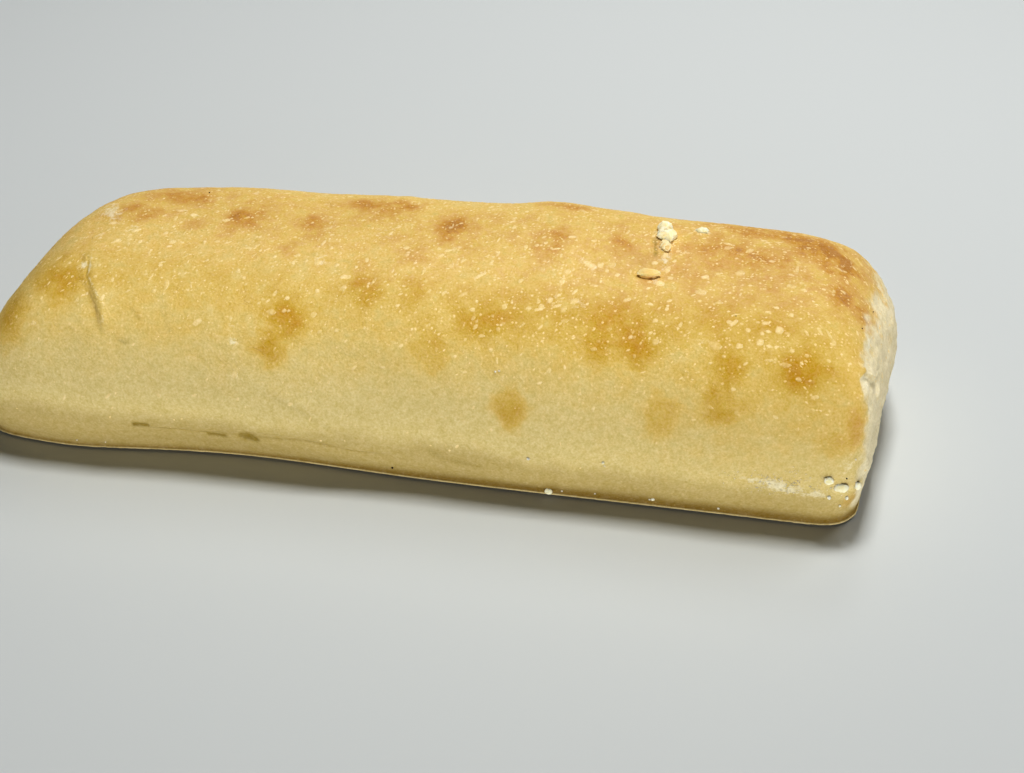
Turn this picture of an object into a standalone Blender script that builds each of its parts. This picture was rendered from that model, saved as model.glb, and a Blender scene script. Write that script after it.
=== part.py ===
"""A ciabatta at its real size, in metres, +Z up.

The loaf lies along X on its flat base at Z = 0, with its front side towards -Y.
It is one solid. A box of even cells is drawn onto the rounded form of a
stretched piece of dough, and then bent, slanted, swollen and folded as the
baked loaf is. The crumbs baked onto the crust are joined to it.
"""

import math
from collections import namedtuple

import bmesh
import bpy
from mathutils import Matrix, Vector, noise
from mathutils.bvhtree import BVHTree

MM = 0.001
NEARLY_NOTHING = 1e-9

# Driving sizes of the loaf
LENGTH = 282 * MM
WIDTH = 100 * MM
HEIGHT = 57 * MM

# How the ends round off. The left end is the slack one, the right end is blunt.
LEFT_ROUNDING_FRONT = 50 * MM
LEFT_ROUNDING_BACK = 32 * MM
RIGHT_ROUNDING_FRONT = 18 * MM
RIGHT_ROUNDING_BACK = 53 * MM
LEFT_SQUARENESS = 3.8
RIGHT_SQUARENESS = 4.8
SECTION_SQUARENESS = 2.8

# How the dough piece was stretched and laid down
LEFT_SLANT = 16 * MM
RIGHT_SLANT = 6.5 * MM
LEFT_WEDGE = 6 * MM
BOW = -5 * MM
# The slants and the wedge fade out this share of half the length past the middle
SLANT_FADES = 0.3
WEDGE_FADES = -0.2
LEFT_WIDTH = 1.0
RIGHT_WIDTH = 0.92
LEFT_HEIGHT = 0.96
RIGHT_HEIGHT = 1.04

# The side tucks in under its fullest height, down to a thin lip of base crust
FULLEST_HEIGHT = 17 * MM
TUCK = 3.5 * MM
LIP_FLARE = 1.2 * MM
LIP_HEIGHT = 0.6 * MM

# The rim of the base curls up off the table
RIM_CURL = 0.9 * MM
RIM_CURL_REACH = 11 * MM

# The places below are in mm on the loaf as it is modelled, before it is centred
# over the origin.

# A part of the foot that is drawn in or out: the middle of it and its half-spans
# in X and Y, how high up the wall the pull is felt, how far the foot moves in X
# and Y, and how much more its rim curls, all in mm
Foot = namedtuple("Foot", "middle half_spans height shift curl")

FEET = (
    # the front left of the base is drawn back and curls up
    Foot(middle=(-62, -50), half_spans=(46, 40), height=26, shift=(0.0, 3.0), curl=0.3),
    # the front right corner of the base stands out sharply
    Foot(middle=(134, -48), half_spans=(13, 16), height=13, shift=(2.8, 0.2), curl=0.0),
    # the front of the left tip is drawn back
    Foot(middle=(-130, -45), half_spans=(14, 26), height=26, shift=(0.0, 1.8), curl=0.0),
)

# Cells of the box that is drawn onto the form, about 4 mm each and lower near the
# foot, where the lip is thin
CELLS_LONG = 62
CELLS_WIDE = 22
CELLS_HIGH = 13
LOW_ROW_BIAS = 1.6

# Slack waves of the skin
WAVE_LENGTH = 34 * MM
WAVE_HEIGHT = 1.1 * MM
RIPPLE_LENGTH = 13 * MM
RIPPLE_HEIGHT = 0.35 * MM

# The relief of the skin fades out over this height above the base
FADES_BELOW = 6 * MM

# A swell or a hollow of the skin: the middle of it, in mm, its half-widths along
# X and round the section, and how far it rises
Swell = namedtuple("Swell", "at half_long half_round rise")

SWELLS = (
    # the right half of the crown stands higher
    Swell(at=(48, 22, 56), half_long=64, half_round=26, rise=3.0),
    # two blown-up blisters on the back of the crown
    Swell(at=(31, 29, 53), half_long=9, half_round=8, rise=1.1),
    Swell(at=(-22, 26, 53), half_long=13, half_round=9, rise=0.7),
    # the shoulder of the left end
    Swell(at=(-120, 2, 48), half_long=17, half_round=18, rise=3.0),
    # the pale end wall, which bulges past the toasted top
    Swell(at=(140, 3, 33), half_long=12, half_round=16, rise=2.6),
    # a shallow dent behind the left fold, and one in the back wall
    Swell(at=(-112, -30, 46), half_long=8, half_round=12, rise=-0.9),
    Swell(at=(-25, 50, 25), half_long=34, half_round=15, rise=-1.4),
    # pits under the seam of the front wall
    Swell(at=(-65.6, -46.5, 10), half_long=2.2, half_round=1.2, rise=-0.8),
    Swell(at=(-54.4, -47.7, 12.5), half_long=2.4, half_round=1.6, rise=-1.3),
    # the soft ridge that runs up from the seam
    Swell(at=(-33, -49.5, 23.5), half_long=13, half_round=3.5, rise=0.5),
)

# A fold of the skin: points along it, how high its overlapping side stands, how
# deep the other side drops, and how far each of them reaches, all in mm. The
# overlapping side is to the right of the path, seen from outside.
Fold = namedtuple("Fold", "path rise drop high_reach low_reach")

FOLDS = (
    # the left end was folded over, and baked as a sharp short crease
    Fold(
        path=(
            (-97.5, -42.5, 43),
            (-99, -38.5, 46.5),
            (-102, -33, 50),
            (-106, -26.5, 52),
            (-107, -22.5, 53.5),
            (-111, -16, 54.5),
        ),
        rise=0.75,
        drop=0.75,
        high_reach=3.6,
        low_reach=3.0,
    ),
    # the long seam low on the front wall
    Fold(
        path=(
            (-6, -49, 11),
            (-21, -49, 12),
            (-37, -49.5, 15),
            (-55, -48, 15),
            (-70, -47, 12),
            (-82, -48, 12.5),
            (-92, -49, 13),
        ),
        rise=0.45,
        drop=0.65,
        high_reach=3.2,
        low_reach=2.6,
    ),
    # the torn edge of the top skin on the right end wall
    Fold(
        path=((134.5, -25, 40), (132.5, -29.5, 44), (130, -32, 48), (126.5, -35.5, 49.5)),
        rise=0.5,
        drop=0.8,
        high_reach=2.4,
        low_reach=2.6,
    ),
)
FOLD_EDGE = 0.8 * MM

# A fold grows over this first share of its path and dies out after this last one
FOLD_GROWN = 0.2
FOLD_FADES = 0.75

# The cells are halved within the first of these reaches of a fold, and halved
# again within the next
FINER_REACHES = (5.0 * MM, 2.4 * MM)

# A crumb baked onto the skin: where it lies, its length, width and thickness, in
# mm, and the degrees that its length is turned from X
Crumb = namedtuple("Crumb", "at size spin")

CRUMBS = (
    # the lump on the crown has two lobes and a trail
    Crumb(at=(67.7, 14.3, 58), size=(5.0, 4.8, 4.4), spin=10),
    Crumb(at=(68.6, 10.3, 58), size=(5.4, 4.8, 4.0), spin=-25),
    Crumb(at=(68.0, 6.2, 58), size=(3.8, 5.6, 2.0), spin=0),
    # two flakes beside it
    Crumb(at=(78.9, 16.6, 57), size=(4.8, 2.6, 2.0), spin=22),
    Crumb(at=(64.1, -7.0, 58), size=(7.4, 3.4, 2.0), spin=-4),
    # lumps low on the front right corner
    Crumb(at=(122.2, -49.8, 21.9), size=(3.0, 2.8, 2.2), spin=0),
    Crumb(at=(126.2, -49.8, 19.4), size=(4.8, 3.0, 2.4), spin=10),
    Crumb(at=(131.0, -47.6, 19.0), size=(2.2, 3.4, 2.0), spin=0),
    # one on the rim of the base
    Crumb(at=(39.8, -48.0, 2.9), size=(2.6, 2.2, 2.0), spin=0),
)

# The share of a crumb's thickness that lies under the skin, how uneven it is as a
# share of its radius, and how many lumps fit across it
CRUMB_SINK = 0.22
CRUMB_UNEVENNESS = 0.34
CRUMB_LUMPS = 2.4

CRUST_COLOUR = (0.76, 0.52, 0.16, 1.0)
CRUST_ROUGHNESS = 0.62
SHARP_ANGLE = math.radians(50)


def smooth_step(start, end, value):
    """0 before start, 1 after end, and an even S between them."""
    share = min(max((value - start) / (end - start), 0.0), 1.0)
    return share * share * (3.0 - 2.0 * share)


def mix(first, second, share):
    return first + (second - first) * share


def on_rounded_form(cell_point):
    """Pulls a point of the unit box onto the loaf's rounded form.

    Each point moves on a straight line from the loaf's core, a line along X
    that ends where the rounding of the ends begins. A point of the underside
    keeps its share of the way from the core to the rim.
    """
    half_length, half_width = LENGTH / 2, WIDTH / 2
    to_back = (cell_point.y + 1) / 2
    left_rounding = mix(LEFT_ROUNDING_FRONT, LEFT_ROUNDING_BACK, to_back)
    right_rounding = mix(RIGHT_ROUNDING_FRONT, RIGHT_ROUNDING_BACK, to_back)
    x = cell_point.x * half_length
    core = min(max(x, left_rounding - half_length), half_length - right_rounding)
    past_core = x - core
    rounding = left_rounding if past_core < 0 else right_rounding
    squareness = LEFT_SQUARENESS if past_core < 0 else RIGHT_SQUARENESS
    plan = (abs(past_core) / rounding) ** squareness + abs(cell_point.y) ** squareness
    level = plan ** (SECTION_SQUARENESS / squareness) + cell_point.z**SECTION_SQUARENESS
    if level < NEARLY_NOTHING:
        return Vector((core, 0.0, 0.0))
    pull = level ** (-1 / SECTION_SQUARENESS)
    if cell_point.z == 0:
        pull *= max(abs(past_core) / rounding, abs(cell_point.y))
    return Vector((core + past_core * pull, cell_point.y * half_width * pull, cell_point.z * HEIGHT * pull))


def tucked_in(point):
    """Draws the side in below its fullest height, and flares the lip at the foot."""
    low = max(0.0, 1 - point.z / FULLEST_HEIGHT)
    lip = math.exp(-((point.z / LIP_HEIGHT) ** 2))
    inward = TUCK * low**2 - LIP_FLARE * lip
    x = point.x * (1 - inward / (LENGTH / 2))
    y = point.y * (1 - inward / (WIDTH / 2))
    return Vector((x, y, point.z))


def as_laid_down(point):
    """Tapers, slants and bends the form as the dough was stretched and laid."""
    end = point.x / (LENGTH / 2)
    across = point.y / (WIDTH / 2)
    up = point.z / HEIGHT
    end_width = LEFT_WIDTH if end < 0 else RIGHT_WIDTH
    end_height = LEFT_HEIGHT if end < 0 else RIGHT_HEIGHT
    to_left = smooth_step(SLANT_FADES, -1.0, end)
    to_right = smooth_step(-SLANT_FADES, 1.0, end)
    x = point.x + across * (LEFT_SLANT * to_left + RIGHT_SLANT * to_right)
    x += up * LEFT_WEDGE * smooth_step(WEDGE_FADES, -1.0, end)
    y = point.y * mix(1.0, end_width, end**2) + BOW * end**2
    z = point.z * mix(1.0, end_height, end**2)
    return Vector((x, y, z))


def nearness(point, foot):
    """1 at the middle of a part of the foot, falling off to 0 away from it."""
    along = (point.x / MM - foot.middle[0]) / foot.half_spans[0]
    across = (point.y / MM - foot.middle[1]) / foot.half_spans[1]
    return math.exp(-(along**2) - across**2)


def shaped(cell_point):
    """The place on the loaf of a point of the unit box, without its small relief."""
    point = as_laid_down(tucked_in(on_rounded_form(cell_point)))
    moved = point.copy()
    for foot in FEET:
        pull = nearness(point, foot) * smooth_step(foot.height * MM, 0.0, point.z)
        moved.x += foot.shift[0] * MM * pull
        moved.y += foot.shift[1] * MM * pull
    return moved


def rim_curl_at(point, inset):
    """How far the base rises at a point that lies inset from its rim."""
    from_rim = min(inset / RIM_CURL_REACH, 1.0)
    more = sum(foot.curl * MM * nearness(point, foot) for foot in FEET)
    return (RIM_CURL + more) * (1 - from_rim) ** 2


def swell_at(point):
    """How far the named swells and hollows lift the skin at a point."""
    rise = 0.0
    for swell in SWELLS:
        away = point / MM - Vector(swell.at)
        along = away.x / swell.half_long
        around = Vector((away.y, away.z)).length / swell.half_round
        rise += swell.rise * MM * math.exp(-(along**2) - around**2)
    return rise


def nearest_on_path(point, path):
    """The nearest point of a path, the way it runs there, and how far along it is."""
    stops = [Vector(stop) * MM for stop in path]
    best = None
    for index, (start, end) in enumerate(zip(stops, stops[1:])):
        way = end - start
        share = min(max((point - start).dot(way) / way.length_squared, 0.0), 1.0)
        place = start + way * share
        distance = (point - place).length
        if best is None or distance < best[0]:
            best = (distance, place, way.normalized(), (index + share) / (len(stops) - 1))
    return best[1:]


def fold_lift_at(point, normal):
    """How far the folds lift the skin: up on the overlapping side, down beside it."""
    lift = 0.0
    for fold in FOLDS:
        place, way, share = nearest_on_path(point, fold.path)
        aside = point - place
        over_edge = smooth_step(-FOLD_EDGE, FOLD_EDGE, aside.dot(way.cross(normal)))
        high = fold.rise * MM * math.exp(-((aside.length / MM / fold.high_reach) ** 2))
        low = fold.drop * MM * math.exp(-((aside.length / MM / fold.low_reach) ** 2))
        ends = smooth_step(0.0, FOLD_GROWN, share) * smooth_step(1.0, FOLD_FADES, share)
        lift += mix(-low, high, over_edge) * ends
    return lift


def waves_at(point):
    wave = WAVE_HEIGHT * noise.noise(point / WAVE_LENGTH)
    ripple = RIPPLE_HEIGHT * noise.noise(point / RIPPLE_LENGTH)
    return wave + ripple


def box_of_cells():
    """A closed box, -1 to 1 in X and Y and 0 to 1 in Z, cut into even cells."""
    mesh = bmesh.new()
    bmesh.ops.create_cube(mesh, size=2.0)
    for axis, cells in enumerate((CELLS_LONG, CELLS_WIDE, CELLS_HIGH)):
        runs_along = [
            edge
            for edge in mesh.edges
            if abs(edge.verts[0].co[axis] - edge.verts[1].co[axis]) > 1.0
        ]
        bmesh.ops.subdivide_edges(mesh, edges=runs_along, cuts=cells - 1, use_grid_fill=True)
    for vert in mesh.verts:
        vert.co.z = ((vert.co.z + 1) / 2) ** LOW_ROW_BIAS
    return mesh


def cut_finer_near_folds(mesh, reach):
    """Halves the cells of the box that will come to lie within reach of a fold."""
    near = []
    for face in mesh.faces:
        place = shaped(face.calc_center_median())
        if any((nearest_on_path(place, fold.path)[0] - place).length < reach for fold in FOLDS):
            near.append(face)
    edges = {edge for face in near for edge in face.edges}
    bmesh.ops.subdivide_edges(mesh, edges=list(edges), cuts=1, use_grid_fill=True)


def inset_of(cell_point):
    """How far a point of the box's underside lies inside its rim, and 0 on the sides."""
    if cell_point.z > 0:
        return 0.0
    from_side = (1 - abs(cell_point.y)) * WIDTH / 2
    from_end = (1 - abs(cell_point.x)) * LENGTH / 2
    return min(from_side, from_end)


def model_loaf():
    mesh = box_of_cells()
    for reach in FINER_REACHES:
        cut_finer_near_folds(mesh, reach)
    insets = {vert: inset_of(vert.co) for vert in mesh.verts}
    for vert in mesh.verts:
        vert.co = shaped(vert.co)
    mesh.normal_update()
    lifts = {}
    for vert, inset in insets.items():
        above_base = smooth_step(0.0, FADES_BELOW, vert.co.z)
        rise = swell_at(vert.co) + waves_at(vert.co) + fold_lift_at(vert.co, vert.normal)
        lift = vert.normal * rise * above_base
        lift.z += rim_curl_at(vert.co, inset) * (1 - min(vert.co.z / HEIGHT, 1.0)) ** 2
        lifts[vert] = lift
    for vert, lift in lifts.items():
        vert.co += lift
    base = [face for face in mesh.faces if all(vert.co.z < NEARLY_NOTHING for vert in face.verts)]
    bmesh.ops.dissolve_faces(mesh, faces=base, use_verts=True)
    bmesh.ops.recalc_face_normals(mesh, faces=mesh.faces)
    return mesh


def model_crumb(crumb, skin):
    """A lumpy ball of the crumb's size, sunk a little into the skin under it."""
    mesh = bmesh.new()
    bmesh.ops.create_icosphere(mesh, subdivisions=2, radius=0.5)
    place, normal, _, _ = skin.find_nearest(Vector(crumb.at) * MM)
    for vert in mesh.verts:
        vert.co *= 1 + CRUMB_UNEVENNESS * noise.noise(vert.co * CRUMB_LUMPS + Vector(crumb.at))
    length, width, thickness = (size * MM for size in crumb.size)
    upright = normal.to_track_quat("Z", "Y").to_matrix().to_4x4()
    spun = Matrix.Rotation(math.radians(crumb.spin), 4, "Z")
    raised = Matrix.Translation(place + normal * thickness * (0.5 - CRUMB_SINK))
    mesh.transform(raised @ upright @ spun @ Matrix.Diagonal((length, width, thickness, 1.0)))
    return mesh


def centre_over_origin(mesh):
    """Moves the loaf along the table until the middle of its outline is the origin."""
    for axis in (0, 1):
        places = [vert.co[axis] for vert in mesh.verts]
        middle = (min(places) + max(places)) / 2
        for vert in mesh.verts:
            vert.co[axis] -= middle


def crust_material():
    material = bpy.data.materials.new("baked crust")
    material.use_nodes = True
    shader = material.node_tree.nodes["Principled BSDF"]
    shader.inputs["Base Color"].default_value = CRUST_COLOUR
    shader.inputs["Roughness"].default_value = CRUST_ROUGHNESS
    shader.inputs["Metallic"].default_value = 0.0
    return material


def add_object(name, mesh, collection):
    data = bpy.data.meshes.new(name)
    mesh.to_mesh(data)
    mesh.free()
    thing = bpy.data.objects.new(name, data)
    collection.objects.link(thing)
    return thing


def join_crumbs(loaf, skin):
    """Unites the crumbs with the loaf in one Boolean, and applies it."""
    crumbs = bpy.data.collections.new("crumbs")
    bpy.context.scene.collection.children.link(crumbs)
    for crumb in CRUMBS:
        add_object("crumb", model_crumb(crumb, skin), crumbs)
    union = loaf.modifiers.new("crumbs", "BOOLEAN")
    union.operation = "UNION"
    union.operand_type = "COLLECTION"
    union.solver = "EXACT"
    union.use_self = True
    union.collection = crumbs
    joined = bpy.data.meshes.new_from_object(loaf.evaluated_get(bpy.context.evaluated_depsgraph_get()))
    loaf.modifiers.clear()
    loaf.data = joined
    for thing in list(crumbs.objects):
        bpy.data.objects.remove(thing)
    bpy.data.collections.remove(crumbs)


def build_loaf():
    mesh = model_loaf()
    skin = BVHTree.FromBMesh(mesh)
    loaf = add_object("loaf", mesh, bpy.context.scene.collection)
    join_crumbs(loaf, skin)
    mesh = bmesh.new()
    mesh.from_mesh(loaf.data)
    centre_over_origin(mesh)
    mesh.to_mesh(loaf.data)
    mesh.free()
    loaf.data.name = "loaf"
    loaf.data.materials.clear()
    loaf.data.materials.append(crust_material())
    loaf.data.shade_smooth()
    loaf.data.set_sharp_from_angle(angle=SHARP_ANGLE)


def clear_scene():
    for thing in list(bpy.data.objects):
        bpy.data.objects.remove(thing)


clear_scene()
build_loaf()
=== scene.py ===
# %% [markdown]
# # A baked ciabatta in Blender
# A ciabatta is a slack, wet dough that is stretched, laid on a floured board and
# baked pale and soft. This lesson dresses its plain solid: the skin gets its
# creases, blisters and crumbs as real geometry, and then the colours of a crust
# that the oven has toasted in spots. The solid is loaded as a fixed frame, in
# metres, and everything is built round it.

import math
import random
from collections import namedtuple

import bmesh
import bpy
import numpy as np
from mathutils import Matrix, Vector, noise
from mathutils.bvhtree import BVHTree
from mathutils.kdtree import KDTree


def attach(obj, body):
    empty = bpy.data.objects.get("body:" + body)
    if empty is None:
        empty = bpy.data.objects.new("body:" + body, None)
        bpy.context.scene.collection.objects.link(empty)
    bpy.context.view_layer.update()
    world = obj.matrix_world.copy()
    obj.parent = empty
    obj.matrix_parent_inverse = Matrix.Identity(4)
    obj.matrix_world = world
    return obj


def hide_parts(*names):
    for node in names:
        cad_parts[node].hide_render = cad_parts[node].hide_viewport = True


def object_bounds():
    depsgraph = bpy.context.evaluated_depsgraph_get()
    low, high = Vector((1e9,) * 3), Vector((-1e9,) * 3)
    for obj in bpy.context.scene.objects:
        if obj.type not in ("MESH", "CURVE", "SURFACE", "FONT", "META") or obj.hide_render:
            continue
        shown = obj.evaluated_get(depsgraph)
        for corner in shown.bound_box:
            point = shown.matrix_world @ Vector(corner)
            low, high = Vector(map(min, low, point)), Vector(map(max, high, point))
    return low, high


MM = 0.001

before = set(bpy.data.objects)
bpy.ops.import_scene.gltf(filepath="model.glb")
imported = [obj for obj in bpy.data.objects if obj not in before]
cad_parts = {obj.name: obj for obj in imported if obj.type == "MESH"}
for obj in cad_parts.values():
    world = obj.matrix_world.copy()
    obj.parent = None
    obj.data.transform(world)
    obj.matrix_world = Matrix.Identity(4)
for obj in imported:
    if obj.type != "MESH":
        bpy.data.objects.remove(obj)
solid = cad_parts["loaf"]
solid_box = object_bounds()
print("solid box, mm:", [[round(place / MM, 1) for place in corner] for corner in solid_box])

# %% [markdown]
# ## Camera
# The loaf is looked down on from its front side, a little from the right. A 50 mm
# lens keeps the long loaf's perspective calm. The camera is turned by its angles
# round the loaf rather than by typed coordinates, so that each number means
# something.

# %% Place the camera
VIEW_TURN = math.radians(8.5)
VIEW_HEIGHT = math.radians(42)
VIEW_DISTANCE = 475.4 * MM
VIEW_AIM = Vector((23.1, 0, 1.5)) * MM
LENS_MM = 50
SENSOR_MM = 36
NEAREST_SEEN = 10 * MM

camera_data = bpy.data.cameras.new("camera")
camera_data.lens = LENS_MM
camera_data.sensor_width = SENSOR_MM
camera_data.clip_start = NEAREST_SEEN
camera = bpy.data.objects.new("camera", camera_data)
bpy.context.scene.collection.objects.link(camera)
view_back = Vector(
    (
        math.sin(VIEW_TURN) * math.cos(VIEW_HEIGHT),
        -math.cos(VIEW_TURN) * math.cos(VIEW_HEIGHT),
        math.sin(VIEW_HEIGHT),
    )
)
camera.location = VIEW_AIM + view_back * VIEW_DISTANCE
camera.rotation_euler = view_back.to_track_quat("Z", "Y").to_euler()
bpy.context.scene.camera = camera
print("camera at, mm:", [round(place / MM) for place in camera.location])

# %% [markdown]
# ## Table
# The loaf lies on a pale, matte surface, which also throws light back up at its
# walls. Colours are given as sRGB hex values, as a colour picker shows them, and
# one function turns them into the linear values that Blender works in.

# %% Lay the table
def linear(hex_colour):
    """Turns an sRGB colour such as #e2bd6a into the linear values that Blender uses."""
    parts = [int(hex_colour[start : start + 2], 16) / 255 for start in (1, 3, 5)]
    return tuple(p / 12.92 if p <= 0.04045 else ((p + 0.055) / 1.055) ** 2.4 for p in parts) + (1.0,)


TABLE_SPAN = 6.0
TABLE_COLOUR = "#cdd0cf"
TABLE_ROUGHNESS = 0.8
TABLE_GLOSS = 0.2

half = TABLE_SPAN / 2
table_corners = [(-half, -half, 0), (half, -half, 0), (half, half, 0), (-half, half, 0)]
table_mesh = bpy.data.meshes.new("table")
table_mesh.from_pydata(table_corners, [], [(0, 1, 2, 3)])
table = bpy.data.objects.new("table", table_mesh)
bpy.context.scene.collection.objects.link(table)

table_finish = bpy.data.materials.new("matte white laminate")
table_finish.use_nodes = True
table_shader = table_finish.node_tree.nodes["Principled BSDF"]
table_shader.inputs["Base Color"].default_value = linear(TABLE_COLOUR)
table_shader.inputs["Roughness"].default_value = TABLE_ROUGHNESS
table_shader.inputs["Specular IOR Level"].default_value = TABLE_GLOSS
table_mesh.materials.append(table_finish)
print("table colour", TABLE_COLOUR)

# %% [markdown]
# ## Light
# The main lamp hangs almost straight above, a little behind the loaf, so that its
# short dark shadow falls towards us. A weak one further back gives the long faint
# shadow, and one at the back right softens both. A wide low panel in front lights
# the wall that we see, and hardly touches the table, since it only grazes it. Two
# small low lamps do the same for the ends. The High Contrast look sets lights and
# darks further apart, as a camera does, so every colour below is chosen with it on.

# %% Hang the lamps
Lamp = namedtuple("Lamp", "name place width height watts")

LAMPS = (
    Lamp("main lamp", (0.05, 0.24, 1.0), 0.20, 0.20, 6.0),
    Lamp("back lamp", (0.15, 0.85, 1.0), 0.25, 0.25, 1.0),
    Lamp("right lamp", (0.60, 0.50, 0.9), 0.40, 0.40, 2.1),
    Lamp("front panel", (0.25, -1.15, 0.11), 1.9, 0.07, 8.6),
    Lamp("left lamp", (-1.1, -0.25, 0.14), 0.4, 0.2, 0.6),
    Lamp("end lamp", (1.1, -0.25, 0.14), 0.4, 0.2, 0.6),
)
FILL_STRENGTH = 0.01

for lamp in LAMPS:
    data = bpy.data.lights.new(lamp.name, "AREA")
    data.shape = "RECTANGLE"
    data.size = lamp.width
    data.size_y = lamp.height
    data.energy = lamp.watts
    hung = bpy.data.objects.new(lamp.name, data)
    hung.location = lamp.place
    hung.rotation_euler = Vector(lamp.place).to_track_quat("Z", "Y").to_euler()
    bpy.context.scene.collection.objects.link(hung)

surround = bpy.data.worlds.new("bright surround")
surround.use_nodes = True
surround.node_tree.nodes["Background"].inputs["Color"].default_value = (1, 1, 1, 1)
surround.node_tree.nodes["Background"].inputs["Strength"].default_value = FILL_STRENGTH
bpy.context.scene.world = surround
bpy.context.scene.view_settings.view_transform = "Standard"
bpy.context.scene.view_settings.look = "High Contrast"
print("lamps:", [lamp.name for lamp in LAMPS], "fill", FILL_STRENGTH)

# %% [markdown]
# ## A finer copy of the skin
# The solid has cells of about 4 mm, which is too coarse for a crust. Its mesh is
# copied, its pairs of triangles are joined back to quads, and a subdivision
# surface turns them into cells of about 1 mm. The flat base stays one face while
# that is done, and its sharp rim is creased so that the rounding doesn't eat it.

# %% Copy and refine the skin
WELD = 0.001 * MM
FLAT = 0.01 * MM
FOOT_ZONE = 3 * MM
RIM_ANGLE = math.radians(50)
RIM_CREASE = 1.0
FINER_LEVELS = 2
FLAT_PAIR = math.radians(60)


def add_object(name, mesh):
    data = bpy.data.meshes.new(name)
    mesh.to_mesh(data)
    mesh.free()
    thing = bpy.data.objects.new(name, data)
    bpy.context.scene.collection.objects.link(thing)
    return thing


def coarse_skin(node):
    mesh = bmesh.new()
    mesh.from_mesh(node.data)
    bmesh.ops.remove_doubles(mesh, verts=mesh.verts, dist=WELD)
    base = [face for face in mesh.faces if all(vert.co.z < FLAT for vert in face.verts)]
    bmesh.ops.dissolve_faces(mesh, faces=base, use_verts=True)
    bmesh.ops.join_triangles(
        mesh, faces=mesh.faces, angle_face_threshold=FLAT_PAIR, angle_shape_threshold=FLAT_PAIR
    )
    creases = mesh.edges.layers.float.new("crease_edge")
    for edge in mesh.edges:
        low = max(vert.co.z for vert in edge.verts) < FOOT_ZONE
        if low and edge.is_convex and edge.calc_face_angle() > RIM_ANGLE:
            edge[creases] = RIM_CREASE
    return mesh


def with_modifiers_applied(thing):
    made = bpy.data.meshes.new_from_object(thing.evaluated_get(bpy.context.evaluated_depsgraph_get()))
    thing.modifiers.clear()
    thing.data = made


def places_of(thing):
    """The vertices of an object in mm, as rows of x, y and z."""
    places = np.empty(len(thing.data.vertices) * 3)
    thing.data.vertices.foreach_get("co", places)
    return places.reshape(-1, 3) / MM


def directions_of(thing):
    return np.array([tuple(normal.vector) for normal in thing.data.vertex_normals])


crust = add_object("crust", coarse_skin(solid))
crust.data.materials.clear()
finer = crust.modifiers.new("finer", "SUBSURF")
finer.levels = FINER_LEVELS
finer.render_levels = FINER_LEVELS
with_modifiers_applied(crust)
places = places_of(crust)
normals = directions_of(crust)
print("crust:", len(crust.data.polygons), "faces, mm:", places.min(0).round(1), places.max(0).round(1))

# %% [markdown]
# ## Marks on the skin
# A place on the loaf is told by two numbers: how far along it lies, and how far
# round it from straight up, in degrees, with the front side negative. A ray from
# outside towards the middle line of the base finds the skin there. A mark such as
# a toasted spot is a soft oval round such a place, which covers the skin and fades
# out.
# A cloud is a field of soft random values, which bends outlines and roughens skin.

# %% Find places on the skin
skin = BVHTree.FromObject(crust, bpy.context.evaluated_depsgraph_get())
OUTSIDE = 200
SHIFT_PER_SEED = Vector((17.3, 5.1, 11.7))

Mark = namedtuple("Mark", "along turn half_long half_round slant strength")
Cloud = namedtuple("Cloud", "height size seed")


def skin_at(along, turn):
    """The place in mm and the normal of the skin, along mm from the middle and turn degrees round."""
    way = Vector((0, math.sin(math.radians(turn)), math.cos(math.radians(turn))))
    place, normal, _, _ = skin.ray_cast((Vector((along, 0, 1)) + way * OUTSIDE) * MM, -way)
    return place / MM, normal


def oval(mark, points, ragged=1.0, flatness=1.0):
    """How strongly a mark covers each point: its strength in the middle, fading to 0."""
    place, normal = skin_at(mark.along, mark.turn)
    lengthways = (Vector((1, 0, 0)) - normal * normal.x).normalized()
    lengthways = Matrix.Rotation(math.radians(mark.slant), 3, normal) @ lengthways
    sideways = normal.cross(lengthways)
    away = points - np.array(place)
    reach = (away @ np.array(lengthways) / mark.half_long) ** 2
    reach += (away @ np.array(sideways) / mark.half_round) ** 2
    reach += (away @ np.array(normal) / max(mark.half_long, mark.half_round)) ** 2
    return mark.strength * np.exp(-((reach * ragged) ** flatness))


def covered(marks, points, ragged=1.0, flatness=1.0):
    return sum(oval(mark, points, ragged, flatness) for mark in marks)


def smooth_step(start, end, values):
    """0 before start, 1 after end, and an even S between them."""
    share = np.clip((values - start) / (end - start), 0, 1)
    return share * share * (3 - 2 * share)


def cloudy(points, *clouds):
    """Soft random values: a sum of clouds, each of its own height, that change over about size mm."""
    total = np.zeros(len(points))
    for cloud in clouds:
        shift = SHIFT_PER_SEED * cloud.seed
        values = [noise.noise(Vector(point) / cloud.size + shift) for point in points]
        total += cloud.height * np.array(values)
    return total


print("crown over the middle, mm:", [round(value, 1) for value in skin_at(0, 0)[0]])

# %% [markdown]
# ## Creases
# The left end was folded over and the dough has a seam low on its front wall. The
# solid has their steps. Here the line itself is cut: a thin furrow under the
# overlapping skin, and a few soft wrinkles beside it. A furrow is a line of points
# laid on the skin, and each vertex near it sinks. Where the depth is negative the
# skin is raised into a soft ridge. A crease's colour is painted shade in its furrow,
# and a negative colour is a pale painted highlight along a raised edge.

# %% Draw the creases
# colour: painted shade along the crease; a negative colour is a pale painted highlight
Crease = namedtuple("Crease", "line width depth colour")

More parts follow.
